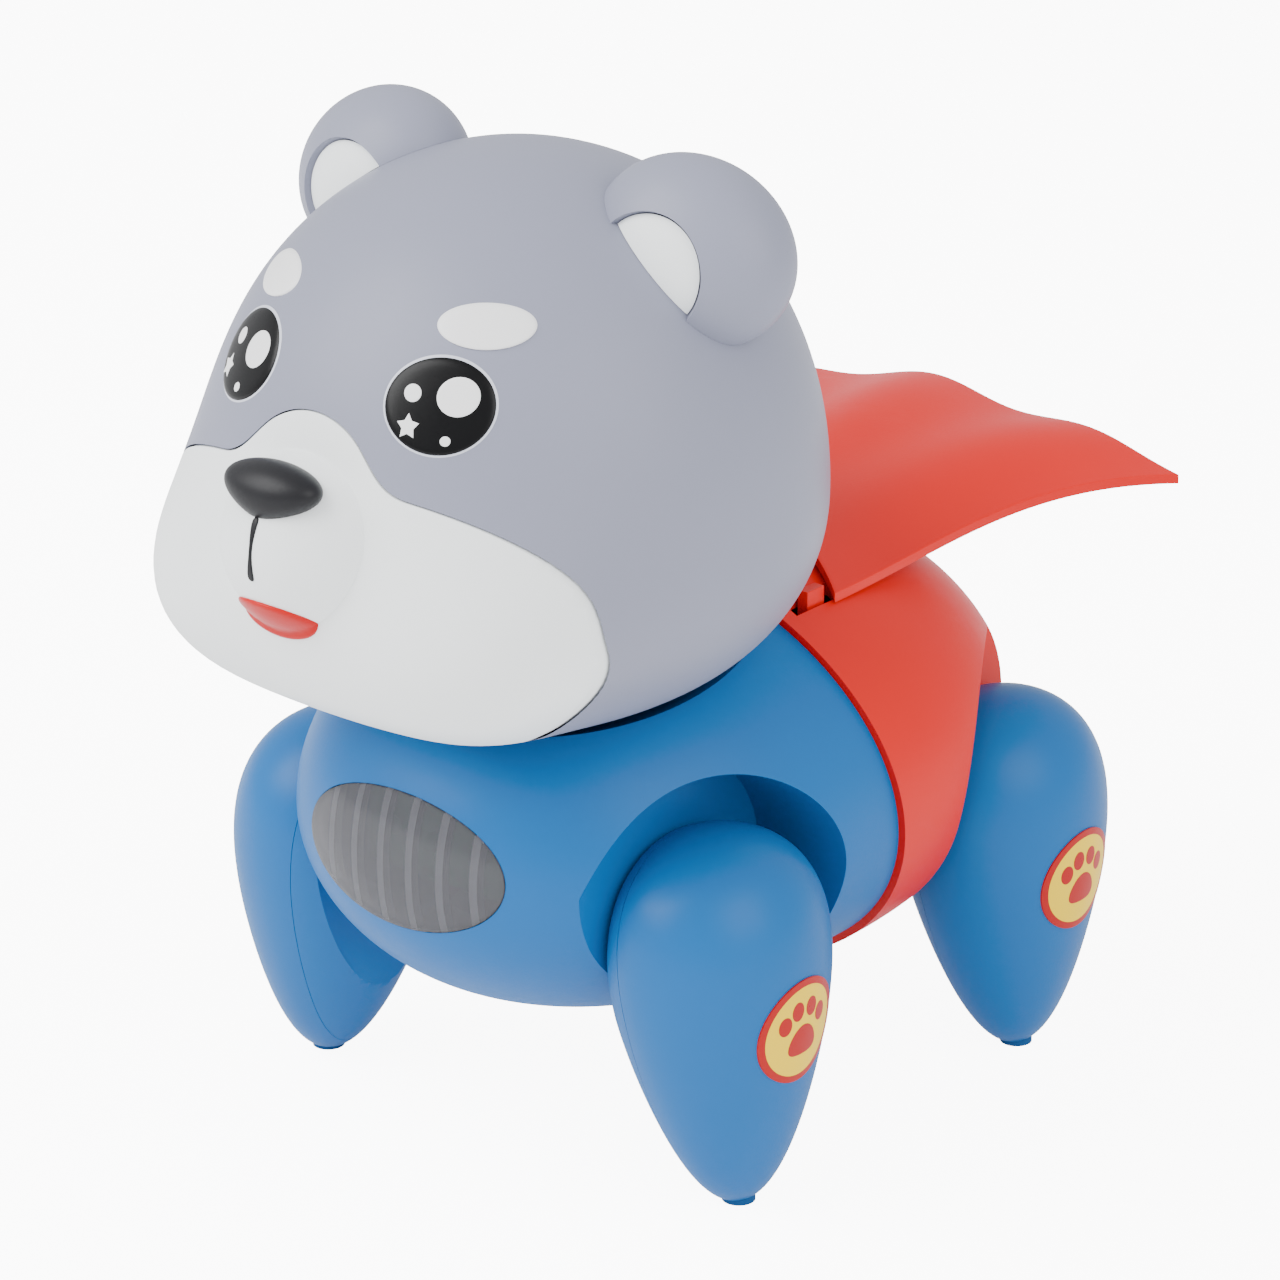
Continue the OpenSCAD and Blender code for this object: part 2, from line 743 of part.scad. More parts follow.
ear_at = [30, head_y + 4, head_z + ear_rise - 0.6];
module ear_form(grow) {
    translate(ear_at) rotate([-16, 20, 7]) scale([16.1 + grow, 11.3 + grow, 13.7 + grow])
        sphere(r = 1, $fn = 20);
}

module ear_dish(grow) {
    translate(ear_at + [-1, -13.6, -2.6]) rotate([-30, 23, -23])
        scale([10.7 + grow, 8.7 + grow, 11.8 + grow]) sphere(r = 1, $fn = 16);
}

module ear() {
    color("#b2b6c5") moulded() difference() {
        ear_form(0);
        head_skin(skin_gap);
        ear_dish(0);
    }
}

module ear_left() { ear(); }

module ear_right() { mirror([1, 0, 0]) ear(); }

liner_sunk = 1;
module ear_liners() {
    color("#eef3f4") both_sides() moulded() difference() {
        intersection() {
            ear_dish(-skin_gap);
            ear_form(-liner_sunk);
        }
        head_skin(skin_gap);
    }
}

module head_shell() {
    color("#b2b6c5") moulded() difference() {
        head_skin(0);
        head_skin(-wall, 20, 12);
        mask_zone(0.1);
        muzzle(0.1);
        rod_z(0, head_z, neck_d / 2 + bush_wall + mould_gap, 0, head_y);
    }
}

module face_mask() {
    color("#f0f5f5") moulded() difference() {
        union() {
            muzzle(0);
            intersection() {
                head_skin(0);
                mask_zone(-0.1);
            }
        }
        head_skin(-wall, 20, 12);
        muzzle(-wall);
    }
}

module on_muzzle(thick) {
    difference() {
        muzzle(thick);
        muzzle(skin_gap);
    }
}

nose_z = muzzle_z + 9.4;
module nose() {
    color("#2e2e31") moulded() difference() {
        translate([0, muzzle_y - 8.8, nose_z]) scale([7.6, 5, 4.8]) sphere(r = 1, $fn = 18);
        muzzle(skin_gap);
        head_skin(skin_gap);
    }
}

module mouth_line() {
    color("#2e2e31") moulded() intersection() {
        on_muzzle(0.4);
        translate([-0.6, -far, muzzle_z - 2.4]) cube([1.2, far + muzzle_y, 6.8]);
    }
}

module tongue() {
    color("#dc201a") moulded() difference() {
        intersection() {
            union() {
                head_skin(0.5);
                muzzle(0.5);
            }
            translate([0, muzzle_y, muzzle_z - 9.6]) rotate([90, 0, 0]) linear_extrude(far)
                scale([7, 3.4]) circle(r = 1, $fn = 18);
        }
        head_skin(skin_gap);
        muzzle(skin_gap);
    }
}

module eyes() {
    color("#0c0c0e") both_sides() moulded() intersection() {
        bonded(film_t);
        face_prism(0, eye_z, eye_turn, eye_half_w, eye_half_h);
    }
}

module brows() {
    color("#fbfcfc") both_sides() moulded() intersection() {
        bonded(film_t);
        face_prism(0, brow_z, brow_turn, brow_half_w, brow_half_h);
    }
}

// ---- Cape ----
// v runs from 1 at the left edge to -1 at the right, u from 0 at the front to 1 at the hem
cape_cols = 16;
cape_rows = 8;
cape_collar = head_back + 4.5;
function cape_half(u) = (cape_front_w + (cape_hem_w - cape_front_w) * pow(u, 3)) / 2;
function cape_front(v) = head_y + sqrt(pow(cape_collar, 2) - pow(v * cape_front_w / 2, 2));
function cape_y(u, v) = cape_front(v) * (1 - u) + cape_reach * u;
function cape_edge(u) = hinge_z + 5.8 + 5.2 * sin(150 * u) * u + 0.2 * u;
function cape_crown(u) = 8 - 2.5 * u;
function cape_wave(u, v) = 1.3 * u * (1 - v * v) * cos(430 * v + 70);
function cape_z(u, v) = cape_edge(u) + cape_crown(u) * (1 - v * v) + cape_wave(u, v);
function cape_point(u, v, drop) = [v * cape_half(u), cape_y(u, v), cape_z(u, v) - drop];

module cape_sheet() {
    loop = [
        for (j = [0:cape_cols]) [1 - 2 * j / cape_cols, 0],
        for (j = [cape_cols:-1:0]) [1 - 2 * j / cape_cols, cape_t]
    ];
    count = len(loop);
    points = [for (i = [0:cape_rows]) for (q = loop) cape_point(i / cape_rows, q[0], q[1])];
    last = cape_rows * count;
    faces = [
        for (i = [0:cape_rows - 1]) for (j = [0:count - 1]) let (
            a = i * count + j,
            b = i * count + (j + 1) % count
        ) each [[a, b, b + count], [a, b + count, a + count]],
        for (j = [0:cape_cols - 1]) each [
            [j + 1, j, count - 1 - j],
            [j + 1, count - 1 - j, count - 2 - j]
        ],
        for (j = [0:cape_cols - 1]) each [
            [last + j, last + j + 1, last + count - 1 - j],
            [last + j + 1, last + count - 2 - j, last + count - 1 - j]
        ]
    ];
    polyhedron(points, faces);
}

module cape() {
    color("#e8250f") {
        moulded() union() {
            cape_sheet();
            both_sides() difference() {
                translate([hinge_x - 1, hinge_y - 1.6, hinge_z + 1]) cube([2, 4.2, 6]);
                cape_over();
            }
        }
        both_sides() difference() {
            union() {
                rod_x(hinge_x - 1, hinge_x + 1, 2, hinge_y, hinge_z);
                translate([hinge_x - 1, hinge_y - 1.6, hinge_z]) cube([2, 3.6, 1.4]);
            }
            rod_x(0, far, pin_r + run_gap, hinge_y, hinge_z);
        }
    }
}

// The space above the cape's underside near its arms
module cape_over() {
    translate([0, -far / 2, hinge_z + 5.9]) cube([far, far, far]);
}

module cape_pins() {
    color("silver") both_sides() rod_x(hinge_x - 4.4, hinge_x + 3, pin_r, hinge_y, hinge_z);
}

// ---- Legs, drawn for the puppy's left and front ----
function leg_wide(s) = sqrt(1 - s * s) * (1 + 0.4 * s + 0.143 * s * s) / 1.084;

module leg_skin(grow, cols = 18, rows = 12) {
    rings = [for (i = [1:rows - 1]) let (s = -cos(180 * i / rows)) [for (j = [0:cols - 1])
        let (a = -360 * j / cols, r = (leg_d / 2 + grow) * leg_wide(s)) [
            r * leg_flat * cos(a),
            r * sin(a),
            leg_h / 2 + (leg_h / 2 + grow) * s
        ]
    ]];
    skin(rings, [0, 0, -grow], [0, 0, leg_h + grow]);
}

// Upright leg leant inwards about its foot
module splayed() { translate([floor_x + foot_out, 0, 0]) rotate([0, -leg_splay, 0]) children(); }

foot_cut = 0.7;
leg_wall = 1.8;
leg_seam = -5;   // sideways place of the joint between a leg's two halves
pad_top = 6;
leg_floor = pad_top + 1.7;
module leg_outside() {
    difference() {
        splayed() leg_skin(0);
        translate([-far + leg_x, -far / 2, -far / 2]) cube([far, far, far]);
        translate([-far / 2, -far / 2, foot_cut - far]) cube([far, far, far]);
    }
}

module leg_inside() {
    difference() {
        splayed() leg_skin(-leg_wall, 12, 7);
        translate([-far + leg_x + leg_wall, -far / 2, -far / 2]) cube([far, far, far]);
        translate([-far / 2, -far / 2, leg_floor - far]) cube([far, far, far]);
    }
}

boss_r = axle_d / 2 + 2.5;
module outer_side() { splayed() translate([leg_seam + 0.03, -far / 2, -far / 2]) cube([far, far, far]); }

module inner_side() {
    splayed() translate([leg_seam - 0.03 - far, -far / 2, -far / 2]) cube([far, far, far]);
}

module pad_socket() {
    rod_z(-1, pad_top - 2, pad_d / 2 + mould_gap, floor_x + foot_out, 0);
}

module leg_outer() {
    color("#2a86c8") moulded() difference() {
        intersection() {
            leg_outside();
            outer_side();
        }
        leg_inside();
        pad_socket();
    }
}

module leg_inner() {
    color("#2a86c8") moulded() difference() {
        intersection() {
            leg_outside();
            inner_side();
        }
        difference() {
            leg_inside();
            rod_x(0, leg_x + 5, boss_r, 0, axle_z);
        }
        pad_socket();
        rod_x(0, far, axle_d / 2 + mould_gap, 0, axle_z);
    }
}

bush_r = axle_d / 2 + 2;
module leg_axle() {
    color("silver") rod_x(arm_x, leg_x + 4, axle_d / 2, 0, axle_z);
    color("ivory") difference() {
        union() {
            rod_x(arm_x, arm_x + arm_t, axle_d / 2 + 2.4, 0, axle_z);
            rod_x(arm_x, arm_x + arm_t, 3, 0, link_z);
            translate([arm_x, -2.4, axle_z]) cube([arm_t, 4.8, arm_len]);
        }
        rod_x(0, far, axle_d / 2 - 0.1, 0, axle_z);
    }
    color("silver") rod_x(arm_x + arm_t / 2, link_x + link_t + 0.6, arm_pin_r, 0, link_z);
}

module leg_bush() {
    color("tan") difference() {
        union() {
            rod_x(floor_x - wall - 1.6, floor_x, bush_r, 0, axle_z);
            rod_x(floor_x, floor_x + 0.6, bush_r + 1.2, 0, axle_z);
        }
        rod_x(0, far, axle_d / 2 + run_gap, 0, axle_z);
    }
}

module leg_bushes() {
    for (s = [-1, 1]) translate([0, s * axle_span / 2, 0]) both_sides() leg_bush();
}

module foot_pad() {
    color("#22262c") rod_z(0, pad_top - 2.2, pad_d / 2, floor_x + foot_out, 0);
}

sticker_z = 32;
module leg_sticker() {
    color("#fdf02f") moulded() intersection() {
        splayed() difference() {
            leg_skin(0.3);
            leg_skin(skin_gap);
        }
        rod_x(floor_x + foot_out, far, sticker_d / 2, 0, sticker_z);
    }
}

// A left front leg's piece, carried to one of the four corners
module corner(side, end) {
    translate([0, end == "front" ? -axle_span / 2 : axle_span / 2, 0])
        if (side == "left") children();
        else mirror([1, 0, 0]) children();
}

// The whole puppy, moved so that the origin lies under the middle of its length
module on_base() { translate([0, y_shift, 0]) children(); }

on_base() front_shell();
on_base() rear_shell();
on_base() chest_lens();
on_base() light_board();
on_base() gearbox_left_plate();
on_base() gearbox_right_plate();
on_base() gear_pins();
on_base() motor();
on_base() main_board();
on_base() speaker();
on_base() battery_box();
on_base() battery_cells();
on_base() battery_contacts();
on_base() switch_body();
on_base() leg_bushes();
on_base() neck_post();
on_base() chassis_screws();
on_base() cape_pins();
on_base() motor_pinion();
on_base() first_gear();
on_base() second_gear();
on_base() crank_gear();
on_base() crank_shaft();
on_base() link_left();
on_base() link_right();
on_base() switch_knob();
on_base() battery_door();
on_base() door_screw();
on_base() head_shell();
on_base() neck_bush();
on_base() face_mask();
on_base() nose();
on_base() mouth_line();
on_base() tongue();
on_base() eyes();
on_base() brows();
on_base() ear_left();
on_base() ear_right();
on_base() ear_liners();
on_base() cape();
on_base() corner("left", "front") leg_outer();  // leg_outer_front_left
on_base() corner("left", "front") leg_inner();  // leg_inner_front_left
on_base() corner("left", "front") leg_axle();  // leg_axle_front_left
on_base() corner("left", "front") foot_pad();  // foot_pad_front_left
on_base() corner("left", "front") leg_sticker();  // leg_sticker_front_left
on_base() corner("right", "front") leg_outer();  // leg_outer_front_right
on_base() corner("right", "front") leg_inner();  // leg_inner_front_right
on_base() corner("right", "front") leg_axle();  // leg_axle_front_right
on_base() corner("right", "front") foot_pad();  // foot_pad_front_right
on_base() corner("right", "front") leg_sticker();  // leg_sticker_front_right
on_base() corner("left", "rear") leg_outer();  // leg_outer_rear_left
on_base() corner("left", "rear") leg_inner();  // leg_inner_rear_left
on_base() corner("left", "rear") leg_axle();  // leg_axle_rear_left
on_base() corner("left", "rear") foot_pad();  // foot_pad_rear_left
on_base() corner("left", "rear") leg_sticker();  // leg_sticker_rear_left
on_base() corner("right", "rear") leg_outer();  // leg_outer_rear_right
on_base() corner("right", "rear") leg_inner();  // leg_inner_rear_right
on_base() corner("right", "rear") leg_axle();  // leg_axle_rear_right
on_base() corner("right", "rear") foot_pad();  // foot_pad_rear_right
on_base() corner("right", "rear") leg_sticker();  // leg_sticker_rear_right
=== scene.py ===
import json
import math

import bmesh
import bpy
import numpy as np
from mathutils import Euler, Matrix, Vector


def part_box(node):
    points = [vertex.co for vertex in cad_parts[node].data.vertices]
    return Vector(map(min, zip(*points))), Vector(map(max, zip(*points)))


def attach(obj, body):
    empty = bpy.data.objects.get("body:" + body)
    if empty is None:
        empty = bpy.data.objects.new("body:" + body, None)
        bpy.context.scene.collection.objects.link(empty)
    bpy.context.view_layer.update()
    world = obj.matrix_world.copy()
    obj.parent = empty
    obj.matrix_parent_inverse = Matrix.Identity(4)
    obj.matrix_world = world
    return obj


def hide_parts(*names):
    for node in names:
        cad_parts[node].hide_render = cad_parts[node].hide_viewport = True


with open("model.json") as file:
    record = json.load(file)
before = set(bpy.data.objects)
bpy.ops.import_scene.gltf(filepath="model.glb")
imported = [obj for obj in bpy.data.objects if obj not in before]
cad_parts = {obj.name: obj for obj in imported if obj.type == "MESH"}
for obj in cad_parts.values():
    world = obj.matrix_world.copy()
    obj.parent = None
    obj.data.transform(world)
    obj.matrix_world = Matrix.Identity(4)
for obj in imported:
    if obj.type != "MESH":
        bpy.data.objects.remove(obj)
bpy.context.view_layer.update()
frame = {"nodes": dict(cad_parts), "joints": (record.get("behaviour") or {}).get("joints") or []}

# ---- Body shells ----
# Two moulded plastic half shells, blue in front and red behind, meet at a leaning joint.
# The red one stands a little proud. Both have round pockets for the legs, and the blue one
# has a dish under the head and an oval window for the chest lens.
MM = 0.001
joint_at = {j["name"]: np.array(j["pos_m"]) / MM for j in frame["joints"] if "pos_m" in j}
axle_front = joint_at["leg_front_left_swing"]
axle_rear = joint_at["leg_rear_left_swing"]
middle_y = (axle_front[1] + axle_rear[1]) / 2
axle_z = axle_front[2]
floor_x = axle_front[0]
body_rise = 6.9
body_at = np.array([0, middle_y, axle_z + body_rise])
body_w, body_h = 94, 70.4
body_front, body_rear, body_full = 67.5, 56.5, 2.35
wall, lip = 2, 1.2
seam_lean, seam_y, seam_gap = math.radians(9), -2.4, 0.1
pocket_r = 22
dish_r, dish_depth = 50.5, 36.4
head_under = 35.1
head_at = joint_at["head_turn"] + [0, 0, head_under]
lens_w, lens_h, lens_rise = 39, 21.6, 1.6
hinge_at = joint_at["cape_flap"]
cape_front_w = 57
hinge_x = cape_front_w / 2 - 2.5
door_x, door_y, door_round = 25.6, 37, 3
screw_x, screw_y, screw_head_z = 32, 8, 33.9
screw_room_r, screw_post_r, post_low, post_high = 2.6, 3.2, 10, 42
bush_hole_r, bush_hole_x, neck_hole_r = 4.15, 10, 6.15
FAR = 200


def mesh_piece(name, points, faces):
    """A mesh object from points in millimetres, merged and with its faces turned outwards."""
    mesh = bpy.data.meshes.new(name)
    mesh.from_pydata([tuple(float(v) * MM for v in p) for p in points], [], faces)
    shape = bmesh.new()
    shape.from_mesh(mesh)
    bmesh.ops.remove_doubles(shape, verts=shape.verts, dist=1e-7)
    bmesh.ops.recalc_face_normals(shape, faces=shape.faces)
    shape.to_mesh(mesh)
    shape.free()
    piece = bpy.data.objects.new(name, mesh)
    bpy.context.scene.collection.objects.link(piece)
    return piece


def closed_skin(name, rings, first, last):
    """A closed skin through rows of rings, with one point at each end."""
    rows, cols = rings.shape[:2]
    points = [first, *rings.reshape(-1, 3), last]
    tail = rows * cols + 1
    faces = [(0, 1 + (j + 1) % cols, 1 + j) for j in range(cols)]
    for i in range(rows - 1):
        for j in range(cols):
            a, b = 1 + i * cols + j, 1 + i * cols + (j + 1) % cols
            faces.append((a, b, b + cols, a + cols))
    faces += [(tail, tail - cols + j, tail - cols + (j + 1) % cols) for j in range(cols)]
    return mesh_piece(name, points, faces)


def evaluated(piece):
    """The piece's mesh with its modifiers applied and taken off."""
    bpy.context.view_layer.update()
    graph = bpy.context.evaluated_depsgraph_get()
    mesh = bpy.data.meshes.new_from_object(piece.evaluated_get(graph))
    piece.modifiers.clear()
    piece.data = mesh
    return piece


def carve(piece, tool, how="DIFFERENCE"):
    """Cuts, keeps or joins the tool's volume, and throws the tool away."""
    cutter = piece.modifiers.new("carve", "BOOLEAN")
    cutter.solver = "MANIFOLD"
    cutter.operation = how
    cutter.object = tool
    evaluated(piece)
    bpy.data.objects.remove(tool)
    return piece


def prism(outline, axis, low, high):
    """A bar along X, Y or Z whose end face is an outline of 2-D points."""
    place = {"x": lambda t, a, b: (t, a, b), "y": lambda t, a, b: (a, t, b),
             "z": lambda t, a, b: (a, b, t)}[axis]
    count = len(outline)
    points = [place(t, a, b) for t in (low, high) for a, b in outline]
    faces = [(i, (i + 1) % count, count + (i + 1) % count, count + i) for i in range(count)]
    faces += [tuple(range(count)), tuple(range(count, 2 * count))]
    return mesh_piece("tool", points, faces)


def circle(r, x=0, y=0, count=48, squash=1):
    turns = [math.tau * i / count for i in range(count)]
    return [(x + r * math.cos(t), y + r * squash * math.sin(t)) for t in turns]


def block(low, high):
    return prism([(low[0], low[1]), (high[0], low[1]), (high[0], high[1]), (low[0], high[1])],
                 "z", low[2], high[2])


def globe(name, place, cols, rows):
    """A closed skin from a rule that puts each unit direction in its place."""
    lat = np.pi * np.arange(1, rows) / rows
    lon = np.linspace(0, 2 * np.pi, cols, endpoint=False)
    unit = np.stack([np.outer(np.sin(lat), np.cos(lon)), np.outer(np.sin(lat), np.sin(lon)),
                     np.outer(np.cos(lat), np.ones(cols))], axis=-1)
    return closed_skin(name, place(unit), place(np.array([0, 0, 1.0])), place(np.array([0, 0, -1.0])))


def ball(name, centre, radii, turn=(0, 0, 0), cols=96, rows=64):
    """An ellipsoid turned by XYZ angles in degrees."""
    spin = np.array(Euler([math.radians(a) for a in turn]).to_matrix())
    return globe(name, lambda u: (u * np.array(radii)) @ spin.T + np.array(centre), cols, rows)


def body_skin(grow, cols=144, rows=96):
    """The plump body surface, moved outwards by grow."""
    s = np.sin(np.linspace(-np.pi / 2, np.pi / 2, rows + 1))[1:-1, None]
    a = np.linspace(0, 2 * np.pi, cols, endpoint=False)[None]
    reach = np.where(s < 0, body_front, body_rear) + grow
    k = (1 - np.abs(s) ** body_full) ** (1 / body_full)
    rings = np.stack([(body_w / 2 + grow) * k * np.cos(a), reach * s + 0 * a,
                      (body_h / 2 + grow) * k * np.sin(a)], axis=-1) + body_at
    return closed_skin("skin", rings, body_at - [0, body_front + grow, 0],
                       body_at + [0, body_rear + grow, 0])


def seam_half(front, shift=0):
    """Everything in front of the leaning joint, or everything behind it."""
    x = FAR
    y0 = -FAR if front else 0
    y1 = 0 if front else FAR
    c, s = math.cos(seam_lean), math.sin(seam_lean)
    base = body_at + [0, seam_y + shift, 0]
    corners = [(x * i, y, FAR * k) for i in (-1, 1) for y in (y0, y1) for k in (-1, 1)]
    points = [base + np.array([p[0], p[1] * c - p[2] * s, p[1] * s + p[2] * c]) for p in corners]
    faces = [(0, 1, 3, 2), (4, 6, 7, 5), (0, 4, 5, 1), (2, 3, 7, 6), (0, 2, 6, 4), (1, 5, 7, 3)]
    return mesh_piece("tool", points, faces)


def leg_room(y, side, grow, x0):
    """The round-topped room for one leg, open downwards."""
    r = pocket_r + grow
    arc = [(y + r * math.cos(t), axle_z + r * math.sin(t)) for t in np.linspace(0, math.pi, 64)]
    outline = [(y + r, -FAR), *arc, (y - r, -FAR)]
    return prism(outline, "x", *sorted((side * x0, side * FAR)))


def dish(grow):
    return ball("tool", head_at, (dish_r + grow, dish_r + grow, dish_depth + grow), cols=128, rows=80)


def door_plan(less=0):
    """The belly door's rounded rectangle."""
    r = door_round
    turns = [(q, math.radians(90 * q + 15 * k)) for q in range(4) for k in range(7)]
    return [((1 if q in (0, 3) else -1) * (door_x - less - r) + r * math.cos(t),
             middle_y + (1 if q < 2 else -1) * (door_y - less - r) + r * math.sin(t)) for q, t in turns]


def lens_outline(less):
    half_w, half_h = lens_w / 2 - less, lens_h / 2 - less
    return circle(half_w, 0, body_at[2] + lens_rise, 96, half_h / half_w)


def smooth(piece, angle=38):
    """Shades a piece smooth between its sharp edges, by the size of its faces."""
    piece.data.polygons.foreach_set("use_smooth", [True] * len(piece.data.polygons))
    piece.data.set_sharp_from_angle(angle=math.radians(angle))
    even = piece.modifiers.new("even", "WEIGHTED_NORMAL")
    even.keep_sharp = True
    even.weight = 70
    return evaluated(piece)


def soften(piece, width, angle=38):
    """Rounds the moulded edges a little, and shades the rest smooth."""
    edge = piece.modifiers.new("edge", "BEVEL")
    edge.width = width * MM
    edge.segments = 2
    edge.limit_method = "ANGLE"
    edge.angle_limit = math.radians(angle)
    edge.use_clamp_overlap = True
    evaluated(piece)
    return smooth(piece, angle)


def shell_half(name, front):
    """One half of the body with its wall, leg pockets, dish and door opening."""
    grow = (-1 if front else 1) * lip / 2
    axle_y = (axle_front if front else axle_rear)[1]
    screw_at = middle_y + (-screw_y if front else screw_y)
    inner = body_skin(grow - wall, 96, 64)
    for side in (-1, 1):
        carve(inner, leg_room(axle_y, side, wall, floor_x - wall))
        carve(inner, prism(circle(screw_post_r, side * screw_x, screw_at), "z", post_low, post_high))
    carve(inner, dish(wall))
    piece = carve(body_skin(grow), seam_half(front, 0 if front else seam_gap), "INTERSECT")
    carve(piece, inner)
    for side in (-1, 1):
        carve(piece, leg_room(axle_y, side, 0, floor_x))
        bush_hole = sorted((side * bush_hole_x, side * FAR))
        carve(piece, prism(circle(bush_hole_r, axle_y, axle_z), "x", *bush_hole))
        carve(piece, prism(circle(screw_room_r, side * screw_x, screw_at), "z", -1, screw_head_z))
    carve(piece, dish(0))
    carve(piece, prism(door_plan(), "z", -1, axle_z - 1))
    piece.name = name
    return piece


def input_tree(name, inputs):
    """An empty geometry tree with named inputs: {name: (socket kind, default)}."""
    tree = bpy.data.node_groups.new(name, "GeometryNodeTree")
    for label, (kind, default) in inputs.items():
        socket = tree.interface.new_socket(label, in_out="INPUT", socket_type=kind)
        if default is not None:
            socket.default_value = default
    tree.interface.new_socket("Geometry", in_out="OUTPUT", socket_type="NodeSocketGeometry")
    given, made = tree.nodes.new("NodeGroupInput"), tree.nodes.new("NodeGroupOutput")
    return tree, given.outputs, made.inputs


def link_all(tree, pairs):
    for source, target in pairs:
        tree.links.new(source, target)


def end_tree(tree, grown, given, made):
    """Realize Instances and Set Material, on the way to the tree's output."""
    real = tree.nodes.new("GeometryNodeRealizeInstances")
    paint = tree.nodes.new("GeometryNodeSetMaterial")
    link_all(tree, (
        (grown, real.inputs["Geometry"]),
        (real.outputs["Geometry"], paint.inputs["Geometry"]),
        (given["Material"], paint.inputs["Material"]),
        (paint.outputs["Geometry"], made["Geometry"])))
    return tree


def grow_from(tree, name, values):
    """The tree's result as a plain mesh object, with the named inputs set."""
    host = mesh_piece(name, [(0, 0, 0), (1, 0, 0), (0, 1, 0)], [(0, 1, 2)])
    grower = host.modifiers.new("grow", "NODES")
    grower.node_group = tree
    for item in tree.interface.items_tree:
        if item.in_out == "INPUT" and item.name in values:
            grower[item.identifier] = values[item.name]
    return evaluated(host)


def math_node(tree, operation, *feeds):
    node = tree.nodes.new("ShaderNodeMath")
    node.operation = operation
    for socket, feed in zip(node.inputs, feeds):
        if isinstance(feed, (int, float)):
            socket.default_value = feed
        else:
            tree.links.new(feed, socket)
    return node.outputs[0]


def hole_ring_tree():
    """A ring of round pins that punch the sound holes under the belly."""
    tree, given, made = input_tree("hole_ring", {
        "Count": ("NodeSocketInt", 6), "Ring radius": ("NodeSocketFloat", 0.004),
        "Hole radius": ("NodeSocketFloat", 0.001), "Depth": ("NodeSocketFloat", 0.03),
        "Centre": ("NodeSocketVector", (0, 0, 0)), "Material": ("NodeSocketMaterial", None)})
    ring = tree.nodes.new("GeometryNodeMeshCircle")
    pin = tree.nodes.new("GeometryNodeMeshCylinder")
    put = tree.nodes.new("GeometryNodeInstanceOnPoints")
    move = tree.nodes.new("GeometryNodeTransform")
    pin.inputs["Vertices"].default_value = 24
    link_all(tree, (
        (given["Count"], ring.inputs["Vertices"]),
        (given["Ring radius"], ring.inputs["Radius"]),
        (given["Hole radius"], pin.inputs["Radius"]),
        (given["Depth"], pin.inputs["Depth"]),
        (ring.outputs["Mesh"], put.inputs["Points"]),
        (pin.outputs["Mesh"], put.inputs["Instance"]),
        (put.outputs["Instances"], move.inputs["Geometry"]),
        (given["Centre"], move.inputs["Translation"])))
    return end_tree(tree, move.outputs["Geometry"], given, made)


def effect(name, inputs, outputs):
    """An empty shader node group with named inputs and outputs."""
    group = bpy.data.node_groups.new(name, "ShaderNodeTree")
    for label, (kind, default) in inputs.items():
        group.interface.new_socket(label, in_out="INPUT", socket_type=kind).default_value = default
    for label, kind in outputs.items():
        group.interface.new_socket(label, in_out="OUTPUT", socket_type=kind)
    given, made = group.nodes.new("NodeGroupInput"), group.nodes.new("NodeGroupOutput")
    return group, given.outputs, made.inputs


def noise_node(tree, where, scale, detail=3, rough=0.5):
    node = tree.nodes.new("ShaderNodeTexNoise")
    node.inputs["Detail"].default_value = detail
    node.inputs["Roughness"].default_value = rough
    tree.links.new(where, node.inputs["Vector"])
    if isinstance(scale, (int, float)):
        node.inputs["Scale"].default_value = scale
    else:
        tree.links.new(scale, node.inputs["Scale"])
    return node.outputs["Fac"]


def remap(tree, value, low, high, new_low, new_high):
    node = tree.nodes.new("ShaderNodeMapRange")
    node.inputs["From Min"].default_value = low
    node.inputs["From Max"].default_value = high
    tree.links.new(value, node.inputs["Value"])
    for feed, label in ((new_low, "To Min"), (new_high, "To Max")):
        if isinstance(feed, (int, float)):
            node.inputs[label].default_value = feed
        else:
            tree.links.new(feed, node.inputs[label])
    return node.outputs["Result"]


def moulded_effect():
    """Moulded plastic: a fine spark texture, faint flow clouds and a few rubbed places."""
    group, given, made = effect("moulded surface", {
        "Colour": ("NodeSocketColor", (0.5, 0.5, 0.5, 1)), "Cloud": ("NodeSocketFloat", 0.05),
        "Grain scale": ("NodeSocketFloat", 2600), "Roughness": ("NodeSocketFloat", 0.42),
        "Rub": ("NodeSocketFloat", 0.06)},
        {"Colour": "NodeSocketColor", "Roughness": "NodeSocketFloat", "Height": "NodeSocketFloat"})
    where = group.nodes.new("ShaderNodeTexCoord").outputs["Object"]
    grain = noise_node(group, where, given["Grain scale"], 2)
    pores = noise_node(group, where, 900, 2)
    cloud = noise_node(group, where, 38, 3)
    rubbed = remap(group, noise_node(group, where, 60, 5, 0.7), 0.56, 0.72, 0, given["Rub"])
    shade = math_node(group, "MULTIPLY_ADD", math_node(group, "SUBTRACT", cloud, 0.5),
                      math_node(group, "MULTIPLY", given["Cloud"], 2), 1)
    tint = group.nodes.new("ShaderNodeVectorMath")
    tint.operation = "SCALE"
    group.links.new(given["Colour"], tint.inputs[0])
    group.links.new(shade, tint.inputs["Scale"])
    rough = math_node(group, "ADD", given["Roughness"],
                      math_node(group, "MULTIPLY_ADD", grain, 0.1, -0.05))
    group.links.new(tint.outputs["Vector"], made["Colour"])
    group.links.new(math_node(group, "SUBTRACT", rough, rubbed), made["Roughness"])
    group.links.new(math_node(group, "MULTIPLY_ADD", pores, 0.6, grain), made["Height"])
    return group


moulded_group = moulded_effect()


def new_material(name):
    material = bpy.data.materials.new(name)
    material.use_nodes = True
    return material, material.node_tree, material.node_tree.nodes["Principled BSDF"]


